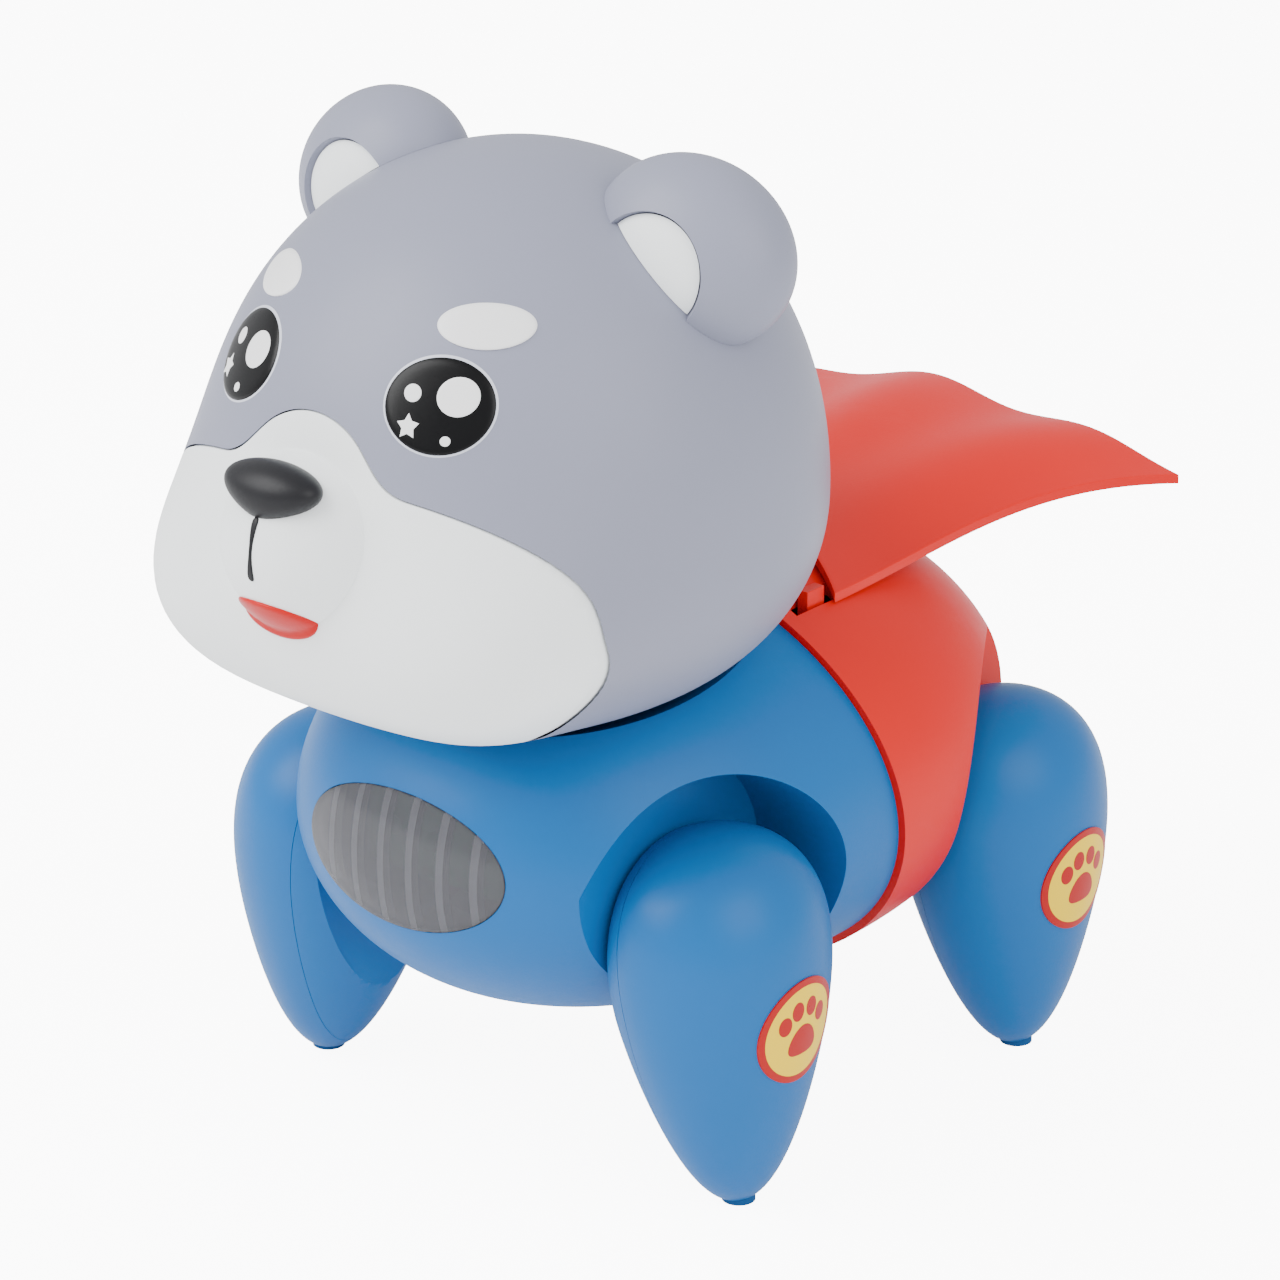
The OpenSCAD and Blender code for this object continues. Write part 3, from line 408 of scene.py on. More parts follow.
def bump(tree, shader, height, strength, distance):
    node = tree.nodes.new("ShaderNodeBump")
    node.inputs["Strength"].default_value = strength
    node.inputs["Distance"].default_value = distance
    tree.links.new(height, node.inputs["Height"])
    tree.links.new(node.outputs["Normal"], shader.inputs["Normal"])


def with_effect(name, group, settings, depth, distance):
    """A material whose colour, roughness and bump come from an effect with its own values."""
    material, tree, shader = new_material(name)
    look = tree.nodes.new("ShaderNodeGroup")
    look.node_tree = group
    for label, value in settings.items():
        look.inputs[label].default_value = value
    tree.links.new(look.outputs["Colour"], shader.inputs["Base Color"])
    tree.links.new(look.outputs["Roughness"], shader.inputs["Roughness"])
    bump(tree, shader, look.outputs["Height"], depth, distance)
    return material, shader


def moulded(name, colour, roughness=0.42, cloud=0.05, grain=2600, rub=0.06, depth=0.25, shine=0.22):
    """A moulded plastic in one colour, with its grain and its shine."""
    material, shader = with_effect(name, moulded_group, {
        "Colour": (*colour, 1), "Cloud": cloud, "Grain scale": grain, "Roughness": roughness,
        "Rub": rub}, depth, 0.00004)
    shader.inputs["Specular IOR Level"].default_value = shine
    return material


def hand_over(piece, body, slot, material, *nodes):
    """Gives a piece its material and its body, and hides the CAD nodes it stands for."""
    piece.data.materials.clear()
    piece.data.materials.append(material)
    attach(piece, body)
    if nodes:
        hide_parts(*nodes)
    return piece


blue_plastic = moulded("blue plastic", (0.003, 0.118, 0.36), 0.42)
red_plastic = moulded("red plastic", (0.66, 0.004, 0.001), 0.4)

chest = shell_half("chest_shell", True)
carve(chest, prism(lens_outline(0), "y", -FAR, middle_y))
speaker_y = middle_y - door_y - 6
holes = {"Count": 6, "Ring radius": 0.004, "Hole radius": 0.001, "Depth": 0.06,
         "Centre": (0, speaker_y * MM, (body_at[2] - body_h / 2) * MM)}
carve(chest, grow_from(hole_ring_tree(), "tool", holes))
carve(chest, prism(circle(neck_hole_r, 0, head_at[1]), "z", body_at[2], head_at[2]))
smooth(chest)
hand_over(chest, "torso", "blue_shell", blue_plastic, "front_shell")

rump = shell_half("rump_shell", False)
slot_half_w, slot_ahead, slot_behind, slot_deep = 1.6, 4, 7.5, 4
for side in (-1, 1):
    slot_x = side * hinge_x
    carve(rump, block((slot_x - slot_half_w, middle_y - slot_ahead, hinge_at[2] - slot_deep),
                      (slot_x + slot_half_w, middle_y + slot_behind, FAR)))
knob_low, knob_high = (np.array(corner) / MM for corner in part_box("switch_knob"))
knob_play = np.array([2.3, 0.3, 0])
carve(rump, block(knob_low - knob_play, knob_high + knob_play))
smooth(rump)
hand_over(rump, "torso", "red_shell", red_plastic, "rear_shell")

# ---- Belly door ----
# The battery door is a flush panel of the blue plastic with a round boss for its one screw.
# It lifts off downwards once the screw is out. The steel screws are turned and cross-headed.
box_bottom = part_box("battery_box")[0][2] / MM
box_half = (24.25, 29.5)
box_gap, door_gap, tab_room = 0.2, 0.3, 5.7
boss_r, boss_room_r, boss_room_top, screw_hole_r = 3.6, 2.7, 22.3, 1.5
door_screw = joint_at["door_screw_turn"]
hollow = body_skin(-lip / 2 - wall, 96, 64)
carve(hollow, prism(circle(boss_r, 0, door_screw[1]), "z", 0, box_bottom - box_gap))
door = carve(body_skin(-lip / 2), prism(door_plan(door_gap), "z", -1, axle_z), "INTERSECT")
carve(door, hollow)
carve(door, block((-box_half[0], middle_y - box_half[1] - tab_room, box_bottom - box_gap),
                  (box_half[0], middle_y + box_half[1], FAR)))
carve(door, prism(circle(boss_room_r, 0, door_screw[1]), "z", -1, boss_room_top))
carve(door, prism(circle(screw_hole_r, 0, door_screw[1]), "z", -1, axle_z))
door.name = "belly_door"
smooth(door)
hand_over(door, "battery_door", "blue_shell", blue_plastic, "battery_door")


def metal_effect():
    """Worked metal: fine lines along the piece, small stains and a little dullness."""
    group, given, made = effect("worked metal", {
        "Colour": ("NodeSocketColor", (0.6, 0.6, 0.6, 1)), "Lines": ("NodeSocketVector", (1, 1, 1)),
        "Roughness": ("NodeSocketFloat", 0.28)},
        {"Colour": "NodeSocketColor", "Roughness": "NodeSocketFloat", "Height": "NodeSocketFloat"})
    where = group.nodes.new("ShaderNodeTexCoord").outputs["Object"]
    stretch = group.nodes.new("ShaderNodeVectorMath")
    stretch.operation = "MULTIPLY"
    group.links.new(where, stretch.inputs[0])
    group.links.new(given["Lines"], stretch.inputs[1])
    lines = noise_node(group, stretch.outputs["Vector"], 900, 3)
    stain = remap(group, noise_node(group, where, 220, 4), 0.45, 0.7, 1, 0.82)
    tint = group.nodes.new("ShaderNodeVectorMath")
    tint.operation = "SCALE"
    group.links.new(given["Colour"], tint.inputs[0])
    group.links.new(stain, tint.inputs["Scale"])
    group.links.new(tint.outputs["Vector"], made["Colour"])
    rough = math_node(group, "ADD", given["Roughness"],
                      math_node(group, "MULTIPLY_ADD", lines, 0.22, -0.11))
    group.links.new(rough, made["Roughness"])
    group.links.new(lines, made["Height"])
    return group


metal_group = metal_effect()


def metal(name, colour, roughness=0.28, lines=(1, 8, 8)):
    material, shader = with_effect(name, metal_group, {
        "Colour": (*colour, 1), "Lines": lines, "Roughness": roughness}, 0.15, 0.00002)
    shader.inputs["Metallic"].default_value = 1.0
    return material


def dress(material, *nodes):
    """Gives CAD nodes a finish in all their material slots."""
    for name in nodes:
        for place in frame["nodes"][name].material_slots:
            place.material = material


screw_steel = metal("zinc screw steel", (0.6, 0.6, 0.62), 0.3, (6, 6, 1))
dress(screw_steel, "door_screw", "chassis_screws")

# ---- Chest lens ----
# An oval of smoke-tinted clear plastic snaps into the chest window. Upright ribs moulded on
# its back spread the light of the small lamps on the board behind it.
lens_ribs, rib_w = 6, 1.2
lens_gap, lens_t, rib_start, rib_end = 0.15, 1.4, 1.35, 2.8


def rib_tree():
    """A row of upright bars side by side."""
    tree, given, made = input_tree("lens_ribs", {
        "Count": ("NodeSocketInt", 6), "Pitch": ("NodeSocketFloat", 0.0056),
        "Bar": ("NodeSocketVector", (0.0012, 0.08, 0.03)), "Centre": ("NodeSocketVector", (0, 0, 0)),
        "Material": ("NodeSocketMaterial", None)})
    row = tree.nodes.new("GeometryNodeMeshLine")
    bar = tree.nodes.new("GeometryNodeMeshCube")
    put = tree.nodes.new("GeometryNodeInstanceOnPoints")
    step = tree.nodes.new("ShaderNodeCombineXYZ")
    start = tree.nodes.new("ShaderNodeVectorMath")
    start.operation = "SUBTRACT"
    back = tree.nodes.new("ShaderNodeCombineXYZ")
    half_run = math_node(tree, "MULTIPLY", math_node(tree, "SUBTRACT", given["Count"], 1),
                         math_node(tree, "MULTIPLY", given["Pitch"], 0.5))
    link_all(tree, (
        (given["Pitch"], step.inputs["X"]), (half_run, back.inputs["X"]),
        (given["Centre"], start.inputs[0]),
        (back.outputs["Vector"], start.inputs[1]),
        (given["Count"], row.inputs["Count"]),
        (start.outputs["Vector"], row.inputs["Start Location"]),
        (step.outputs["Vector"], row.inputs["Offset"]),
        (given["Bar"], bar.inputs["Size"]),
        (row.outputs["Mesh"], put.inputs["Points"]),
        (bar.outputs["Mesh"], put.inputs["Instance"])))
    return end_tree(tree, put.outputs["Instances"], given, made)


lens_mid = body_at + [0, -body_front, lens_rise]
lens = carve(body_skin(-lip / 2 + lens_gap), prism(lens_outline(lens_gap), "y", -FAR, middle_y),
             "INTERSECT")
carve(lens, body_skin(-lip / 2 - lens_t))
lens.name = "chest_lens_cover"
smooth(lens)
ribs = grow_from(rib_tree(), "chest_lens_ribs", {
    "Count": lens_ribs, "Pitch": lens_w / (lens_ribs + 1) * MM, "Bar": (rib_w * MM, 0.04, 0.03),
    "Centre": tuple(lens_mid * MM)})
carve(ribs, prism(lens_outline(lens_gap), "y", -FAR, middle_y), "INTERSECT")
carve(ribs, body_skin(-lip / 2 - rib_start), "INTERSECT")
carve(ribs, body_skin(-lip / 2 - rib_end))
smooth(ribs)


def smoke(name, tint, clear, roughness, shine):
    """Smoke-tinted clear plastic with fine scuffs."""
    material, tree, shader = new_material(name)
    where = tree.nodes.new("ShaderNodeTexCoord").outputs["Object"]
    scuff = remap(tree, noise_node(tree, where, 160, 4, 0.6), 0.45, 0.75, roughness, roughness + 0.08)
    tree.links.new(scuff, shader.inputs["Roughness"])
    shader.inputs["Base Color"].default_value = (*tint, 1)
    shader.inputs["Transmission Weight"].default_value = clear
    shader.inputs["Specular IOR Level"].default_value = shine
    shader.inputs["IOR"].default_value = 1.3
    return material


hand_over(lens, "torso", "smoke_lens", smoke("smoked lens", (0.3, 0.3, 0.33), 0.8, 0.1, 0.3), "chest_lens")
# The ribs are moulded in the lens plastic, but they get a lighter, less clear copy of it. This is painted
# light, so that they show as pale strips through the lens.
hand_over(ribs, "torso", "smoke_lens", smoke("smoked ribs painted lighter", (0.5, 0.5, 0.53), 0.3, 0.3, 0.2))

# ---- Head ----
# A wide round grey head, moulded hollow, with full cheeks. It sits on a post in the body's
# dish, and the white mask fills a window that is cut out of its front.
head_w, head_front, head_back, head_top = 92.8, 48.8, 45, 51.9
head_round, head_crown = 2.06, 2.1
cheek, cheek_swell, cheek_spread = (0.575, -0.833, -0.274), 0.187, 21.4
chin, chin_swell, chin_spread = (0, -1, -0.35), 0.089, 24
muzzle_at, muzzle_r = head_at + [0, -head_front + 4, 3.6], 14
mask_back, mask_half_w, mask_mid, mask_start = 17, 40.8, -7.7, -2
lobe_up, lobe_down, lobe_scale = (22, 2.5), (24, 2), 22
blaze_half_w, blaze_half_h, blaze_mid, blaze_scale, mask_blend = 13, 12.4, 10.3, 12.5, 5
mask_gap, muzzle_gap, bush_room_r = 0.12, 0.1, 9.15


def head_radius(u, grow):
    """Distance of the head's surface from its centre along unit directions u."""
    half = head_w / 2 + grow
    depth = np.where(u[..., 1] < 0, head_front, head_back) + grow
    height = np.where(u[..., 2] > 0, head_top, head_under) + grow
    flat = np.abs(u[..., 0] / half) ** head_round + np.abs(u[..., 1] / depth) ** head_round
    tall = np.abs(u[..., 2] / height) ** head_crown
    reach = (flat ** (head_crown / head_round) + tall) ** (-1 / head_crown)
    swell = 1
    for aim, size, spread in ((cheek, cheek_swell, cheek_spread),
                              ((-cheek[0], *cheek[1:]), cheek_swell, cheek_spread),
                              (chin, chin_swell, chin_spread)):
        angle = np.degrees(np.arccos(np.clip(u @ np.array(aim) / np.linalg.norm(aim), -1, 1)))
        swell = swell + size * np.exp(-(angle / spread) ** 2)
    return reach * swell


def head_skin(grow, cols=176, rows=120):
    return globe("skin", lambda u: u * head_radius(u, grow)[..., None] + head_at, cols, rows)


def muzzle(grow):
    return ball("tool", muzzle_at, (muzzle_r + grow,) * 3, cols=72, rows=48)


def mask_outline(grow):
    """The mask from the front: a wide lobe that runs smoothly into a blaze between the eyes."""
    start = np.array([0, mask_start])

    def outside(p):
        deep, full = lobe_up if p[1] > mask_mid else lobe_down
        across, up = np.abs(p[0] / mask_half_w), np.abs((p[1] - mask_mid) / deep)
        lobe = ((across ** full + up ** full) ** (1 / full) - 1) * lobe_scale
        middle = np.hypot(p[0] / blaze_half_w, (p[1] - blaze_mid) / blaze_half_h)
        blaze = (middle - 1) * blaze_scale
        blend = max(0.0, 1 - abs(lobe - blaze) / mask_blend)
        return min(lobe, blaze) - mask_blend * blend ** 2 / 4 - grow

    edge = []
    for turn in np.linspace(0, math.tau, 180, endpoint=False):
        aim = np.array([math.cos(turn), math.sin(turn)])
        near, away = 0.0, 60.0
        for _ in range(30):
            mid = (near + away) / 2
            near, away = (mid, away) if outside(start + aim * mid) < 0 else (near, mid)
        edge.append(tuple(start + aim * near + [0, head_at[2]]))
    return edge


def mask_zone(grow):
    return prism(mask_outline(grow), "y", -FAR, head_at[1] - mask_back + grow)


grey_plastic = moulded("grey plastic", (0.25, 0.26, 0.335), 0.42, 0.03)
white_plastic = moulded("white plastic", (0.92, 0.95, 0.95), 0.38, 0.01)

head = carve(head_skin(0), head_skin(-wall, 96, 64))
carve(head, mask_zone(mask_gap))
carve(head, muzzle(muzzle_gap))
carve(head, prism(circle(bush_room_r, 0, head_at[1]), "z", 0, head_at[2]))
head.name = "head_cover"
smooth(head)
hand_over(head, "head", "head_grey", grey_plastic, "head_shell")

mask = carve(head_skin(0), mask_zone(-mask_gap), "INTERSECT")
carve(mask, muzzle(0), "UNION")
carve(mask, head_skin(-wall, 96, 64))
mask.name = "white_mask"
smooth(mask)
hand_over(mask, "head", "face_white", white_plastic, "face_mask")

# ---- Ears ----
# Two plump round ears are bonded to the head. Each has a scooped front lined with a white
# plate, set in with a fine groove round it.
ear_at = head_at + [30, 4, 40.9]
ear_turn, ear_size = (-16, 20, 7), np.array([16.1, 11.3, 13.7])
scoop_at = ear_at + [-1, -13.6, -2.6]
scoop_turn, scoop_size = (-30, 23, -23), np.array([10.7, 8.7, 11.8])
ear_gap, liner_gap, liner_sunk, liner_skin_gap = 0.03, 0.2, 1, 0.12


def ear_form(grow):
    return ball("ear", ear_at, ear_size + grow, ear_turn)


def ear_scoop(grow):
    return ball("tool", scoop_at, scoop_size + grow, scoop_turn)


def twin(source, name, side=-1, shift=0.0):
    """A copy for the other side or end: mirrored across the middle and moved along Y."""
    mesh = source.data.copy()
    mesh.transform(Matrix.Translation((0, shift * MM, 0)) @ Matrix.Diagonal((side, 1, 1, 1)))
    if side < 0:
        mesh.flip_normals()
    piece = bpy.data.objects.new(name, mesh)
    bpy.context.scene.collection.objects.link(piece)
    return piece


ear = carve(ear_form(0), head_skin(ear_gap, 120, 80))
carve(ear, ear_scoop(0))
ear.name = "left_ear"
smooth(ear)
hand_over(ear, "head", "head_grey", grey_plastic, "ear_left")
hand_over(twin(ear, "right_ear"), "head", "head_grey", grey_plastic, "ear_right")

liner = carve(ear_scoop(-liner_gap), ear_form(-liner_sunk), "INTERSECT")
carve(liner, head_skin(liner_skin_gap, 120, 80))
liner.name = "left_ear_liner"
smooth(liner)
hand_over(liner, "head", "face_white", white_plastic, "ear_liners")
hand_over(twin(liner, "right_ear_liner"), "head", "face_white", white_plastic)

# ---- Eyes and brows ----
# Glossy black printed eyes with a pale rim and painted highlights: a large oval, a dot, a
# star and a speck. White oval brows sit above them. All are thin films bonded to the head.
eye_turn, eye_rise, eye_size = 25.5, 25.9, (8.15, 6.25)
brow_turn, brow_rise, brow_size = 33.5, 35.9, (7.1, 2.75)
eye_rim_w, rim_t, film_t, shine_t = 0.25, 0.12, 0.35, 0.42


def head_hit(turn, rise):
    """A rule that gives the place on the head in front of a point on a turned front view."""
    lean = math.radians(turn)
    ahead = np.array([math.sin(lean), -math.cos(lean), 0])
    across = np.array([math.cos(lean), math.sin(lean), 0])

    def hit(view, grow):
        start = head_at + [0, 0, rise] + view[..., :1] * across + view[..., 1:] * [0, 0, 1]
        near, away = np.zeros(view.shape[:-1]), np.full(view.shape[:-1], 90.0)
        for _ in range(36):
            mid = (near + away) / 2
            d = start + mid[..., None] * ahead - head_at
            length = np.linalg.norm(d, axis=-1)
            inside = length < head_radius(d / length[..., None], grow)
            near, away = np.where(inside, mid, near), np.where(inside, away, mid)
        return start + near[..., None] * ahead

    return hit


def film(name, hit, outline, top, bottom=0.0):
    """A thin bonded film with a rounded edge, laid on a surface."""
    around = np.array(outline)
    middle = around.mean(0)
    rows, edge = [], 0.82
    for share in (0.15, 0.3, 0.45, 0.6, 0.72, edge, 0.9, 0.95, 0.98, 1):
        fall = max(0, share - edge) / (1 - edge)
        height = bottom + (top - bottom) * math.sqrt(max(0, 1 - fall ** 2))
        rows.append(hit(middle + (around - middle) * share, height))
    piece = closed_skin(name, np.array(rows), hit(middle, top), hit(middle, bottom - 0.2))
    return smooth(piece, 60)


def oval(x, y, half_x, half_y, count=64):
    return [(x + half_x * math.cos(t), y + half_y * math.sin(t))
            for t in np.linspace(0, math.tau, count, False)]


def star(x, y, r, points=5, per_side=5):
    """A plump five-pointed star with straight sides."""
    tips = [(r * (1 if k % 2 == 0 else 0.55), math.pi * k / points) for k in range(points * 2)]
    corners = [np.array([x + q * math.sin(t), y + q * math.cos(t)]) for q, t in tips]
    return [tuple(a + (b - a) * i / per_side) for a, b in zip(corners, corners[1:] + corners[:1])
            for i in range(per_side)]


eye_print = moulded("black eye print", (0.0015, 0.0015, 0.002), 0.3, 0.0, 1800, 0.02, 0.03, 0.2)
white_print = moulded("white print", (0.9, 0.9, 0.9), 0.3, 0.01, 1800, 0.02, 0.03)
rim_print = moulded("pale rim print", (0.62, 0.64, 0.72), 0.3, 0.01, 1800, 0.02, 0.03)
eye_hit, brow_hit = head_hit(eye_turn, eye_rise), head_hit(brow_turn, brow_rise)
wide, tall = eye_size
side_names = {1: "left", -1: "right"}
# Each mark has its outline, its height over the head, its finish and its material slot.
marks = {"rim": (oval(0, 0, wide + eye_rim_w, tall + eye_rim_w), rim_t, rim_print, "face_white"),
         "eye": (oval(0, 0, wide, tall), film_t, eye_print, "eye_black"),
         "shine": (oval(2.7, 1.5, 3.4, 2.75), shine_t, white_print, "face_white"),
         "dot": (oval(-4, 1.6, 1.4, 1.25), shine_t, white_print, "face_white"),
         "star": (star(-4.2, -2.7, 1.9), shine_t, white_print, "face_white"),
         "speck": (oval(1.5, -4.2, 0.85, 0.72, 32), shine_t, white_print, "face_white")}
for label, (outline, top, print_material, slot) in marks.items():
    for side in (1, -1):
        shape = outline if label in ("rim", "eye") else np.array(outline) * [side, 1]
        mark = film(f"{label}_{side_names[side]}",
                    lambda view, grow: eye_hit(view, grow) * [side, 1, 1], shape, top)
        nodes = ["eyes"] if label == "eye" and side > 0 else []
        hand_over(mark, "head", slot, print_material, *nodes)
for side in (1, -1):
    brow = film(f"brow_{side_names[side]}",
                lambda view, grow: brow_hit(view, grow) * [side, 1, 1], oval(0, 0, *brow_size), film_t)
    hand_over(brow, "head", "face_white", white_print, *(["brows"] if side > 0 else []))

# ---- Nose, mouth and tongue ----
# A soft black rounded-triangle nose is pressed into the muzzle. The mouth line is a thin
# printed stroke below it, and the tongue is a flat red leaf under the muzzle.
nose_at, nose_size = muzzle_at + [0, -8.8, 9.6], (8.2, 4.9, 4.4)
nose_taper, nose_pinch = 0.34, 0.2
mouth_r, mouth_mid, mouth_half_h, mouth_t = 0.5, 2, 4.2, 0.25
tongue_half_w, tongue_mid, tongue_up, tongue_down, tongue_t = 7.2, -9.3, 3.2, 3.6, 0.5


def muzzle_hit(view, grow):
    """The place on the muzzle ball, or on the head where that lies further forward."""
    r = muzzle_r + grow
    deep = np.sqrt(np.maximum(0, r * r - (view ** 2).sum(-1)))
    across, up = view[..., :1] * [1, 0, 0], view[..., 1:] * [0, 0, 1]
    on_ball = muzzle_at + across + up - deep[..., None] * [0, 1, 0]
    on_head = head_hit(0, muzzle_at[2] - head_at[2])(view, grow)
    return np.where((on_ball[..., 1] < on_head[..., 1])[..., None], on_ball, on_head)


nose = ball("nose_tip", (0, 0, 0), (1, 1, 1), cols=72, rows=48)
for v in nose.data.vertices:
    u = v.co / MM
    taper = 1 + nose_taper * u.z - nose_pinch * u.z * u.z
    v.co = Vector(nose_at * MM) + MM * Vector(
        (u.x * nose_size[0] * taper, u.y * nose_size[1], u.z * nose_size[2]))
nose.data.update()
smooth(nose, 60)
nose_rubber = moulded("nose vinyl", (0.012, 0.012, 0.014), 0.42, 0.08, 1500, 0.08, 0.4)
hand_over(nose, "head", "nose_black", nose_rubber, "nose")

stroke = [(mouth_r * math.cos(t),
           mouth_mid + mouth_r * math.sin(t) + math.copysign(mouth_half_h, math.sin(t)))
          for t in np.linspace(0.01, math.tau + 0.01, 32, False)]
line = film("mouth_stroke", muzzle_hit, stroke, mouth_t)
hand_over(line, "head", "nose_black", nose_rubber, "mouth_line")

leaf = [(tongue_half_w * math.cos(t),
         tongue_mid + (tongue_up if math.sin(t) > 0 else tongue_down) * math.sin(t))
        for t in np.linspace(0, math.tau, 64, False)]
tongue_red = moulded("tongue vinyl", (0.5, 0.002, 0.002), 0.35, 0.04, 1500, 0.05, 0.2)
hand_over(film("tongue_leaf", muzzle_hit, leaf, tongue_t), "head", "tongue_red", tongue_red, "tongue")

# ---- Cape ----
# A stiff red moulded cape, hinged on two steel pins by arms that reach into the rump shell.
# Its sheet arches across, dips behind the head and flares up at the hem in soft folds.
cape_hem_w, cape_reach, cape_t = 86, 76.5 + middle_y, 1.6
cape_collar = head_back + 4.5
cape_lift, cape_flare, cape_swing = 5.8, 5.2, 150
cape_crown, cape_flatten, fold_h, fold_turns, fold_start = 8, 2.5, 1.3, 430, 70
arm_t, arm_ahead, arm_behind, arm_rise, eye_r, eye_hole_r = 2, 1.6, 2.6, 7, 2, 1.05
pin_y, pin_z = hinge_at[1], hinge_at[2]


def cape_sheet(cols=120, rows=84):
    """The arched sheet, drawn row by row from the collar to the hem."""
    u = np.linspace(0, 1, rows + 1)[:, None]

    def face(v, drop):
        v = v[None]
        half = (cape_front_w + (cape_hem_w - cape_front_w) * u ** 3) / 2
        front = head_at[1] + np.sqrt(cape_collar ** 2 - (v * cape_front_w / 2) ** 2)
        flare = cape_flare * np.sin(np.radians(cape_swing * u)) * u
        edge = pin_z + cape_lift + flare + 0.2 * u
        crown = (cape_crown - cape_flatten * u) * (1 - v * v)
        wave = fold_h * u * (1 - v * v) * np.cos(np.radians(fold_turns * v + fold_start))
        return np.stack([v * half, front * (1 - u) + cape_reach * u, edge + crown + wave - drop], axis=-1)

    v = np.linspace(1, -1, cols + 1)
    loops = np.concatenate([face(v, 0), face(v[::-1], cape_t)], axis=1)
    count = loops.shape[1]
    faces = []
    for i in range(rows):
        for j in range(count):
            a, b = i * count + j, i * count + (j + 1) % count
            faces.append((a, b, b + count, a + count))
    for row in (0, rows):
        faces += [tuple(row * count + k for k in (j, j + 1, count - 2 - j, count - 1 - j))
                  for j in range(cols)]
    return mesh_piece("cape_sheet", loops.reshape(-1, 3), faces)


cape = cape_sheet()
for side in (1, -1):
    x = side * hinge_x
    low, high = x - arm_t / 2, x + arm_t / 2
    arm = block((low, pin_y - arm_ahead, pin_z), (high, pin_y + arm_behind, pin_z + arm_rise))
    carve(arm, prism(circle(eye_r, pin_y, pin_z), "x", low, high), "UNION")
    carve(arm, prism(circle(eye_hole_r, pin_y, pin_z), "x", low - 1, high + 1))
    carve(cape, arm, "UNION")
soften(cape, 0.45, 50)
hand_over(cape, "cape", "red_shell", red_plastic, "cape")
dress(screw_steel, "cape_pins")

# ---- Legs ----
# Each leg is a drop-shaped hollow pair of blue half shells round a steel axle, leaning in
# at the top. A rubber pad is let into the foot, and a round sticker is on the outer side.
leg_h, leg_d, leg_flat, leg_splay = 60, 36.8, 0.89, 6
foot_x, leg_x, leg_seam, foot_cut = floor_x + 14, floor_x + 1.1, -5, 0.7
pad_d, pad_top, pad_roof = 5.2, 6, 1.7
leg_wall, pad_gap, socket_r, socket_reach, axle_hole_r = 1.8, 0.15, 4.5, 5, 2.15


def drop_tree():
    """A drop shape: a ball whose width follows the leg's curve, leant about its foot."""
    tree, given, made = input_tree("drop_leg", {
        "Height": ("NodeSocketFloat", 0.06), "Width": ("NodeSocketFloat", 0.0368),
        "Flatness": ("NodeSocketFloat", 0.89), "Grow": ("NodeSocketFloat", 0.0),
        "Fullness": ("NodeSocketFloat", 0.4), "Top bulge": ("NodeSocketFloat", 0.143),
        "Lean": ("NodeSocketVector", (0, 0, 0)), "Foot": ("NodeSocketVector", (0, 0, 0)),
        "Segments": ("NodeSocketInt", 96), "Rings": ("NodeSocketInt", 72),
        "Material": ("NodeSocketMaterial", None)})
    egg = tree.nodes.new("GeometryNodeMeshUVSphere")
    where = tree.nodes.new("GeometryNodeInputPosition")
    split = tree.nodes.new("ShaderNodeSeparateXYZ")
    join = tree.nodes.new("ShaderNodeCombineXYZ")
    bend = tree.nodes.new("GeometryNodeSetPosition")
    lean = tree.nodes.new("GeometryNodeTransform")
    egg.inputs["Radius"].default_value = 1
    tree.links.new(where.outputs["Position"], split.inputs["Vector"])
    s = split.outputs["Z"]
    curve = math_node(tree, "MULTIPLY_ADD", s, given["Top bulge"], given["Fullness"])
    wide = math_node(tree, "MULTIPLY_ADD", curve, s, 1)
    half_width = math_node(tree, "MULTIPLY", given["Width"], 0.5)
    radius = math_node(tree, "ADD", half_width, given["Grow"])
    spread = math_node(tree, "DIVIDE", math_node(tree, "MULTIPLY", wide, radius), 1.084)
    half = math_node(tree, "MULTIPLY", given["Height"], 0.5)
    round_x = math_node(tree, "MULTIPLY", split.outputs["X"], spread)
    x = math_node(tree, "MULTIPLY", round_x, given["Flatness"])
    y = math_node(tree, "MULTIPLY", split.outputs["Y"], spread)
    z = math_node(tree, "MULTIPLY_ADD", s, math_node(tree, "ADD", half, given["Grow"]), half)
    link_all(tree, (
        (x, join.inputs["X"]), (y, join.inputs["Y"]), (z, join.inputs["Z"]),
        (given["Segments"], egg.inputs["Segments"]),
        (given["Rings"], egg.inputs["Rings"]),
        (egg.outputs["Mesh"], bend.inputs["Geometry"]),
        (join.outputs["Vector"], bend.inputs["Position"]),
        (bend.outputs["Geometry"], lean.inputs["Geometry"]),
        (given["Lean"], lean.inputs["Rotation"]),
        (given["Foot"], lean.inputs["Translation"])))
    return end_tree(tree, lean.outputs["Geometry"], given, made)


leg_tree = drop_tree()


def drop(grow, segments=96, rings=72):
    return grow_from(leg_tree, "drop", {
        "Height": leg_h * MM, "Width": leg_d * MM, "Flatness": leg_flat, "Grow": grow * MM,
        "Lean": (0.0, -math.radians(leg_splay), 0.0), "Foot": (foot_x * MM, 0.0, 0.0),
        "Segments": segments, "Rings": rings})


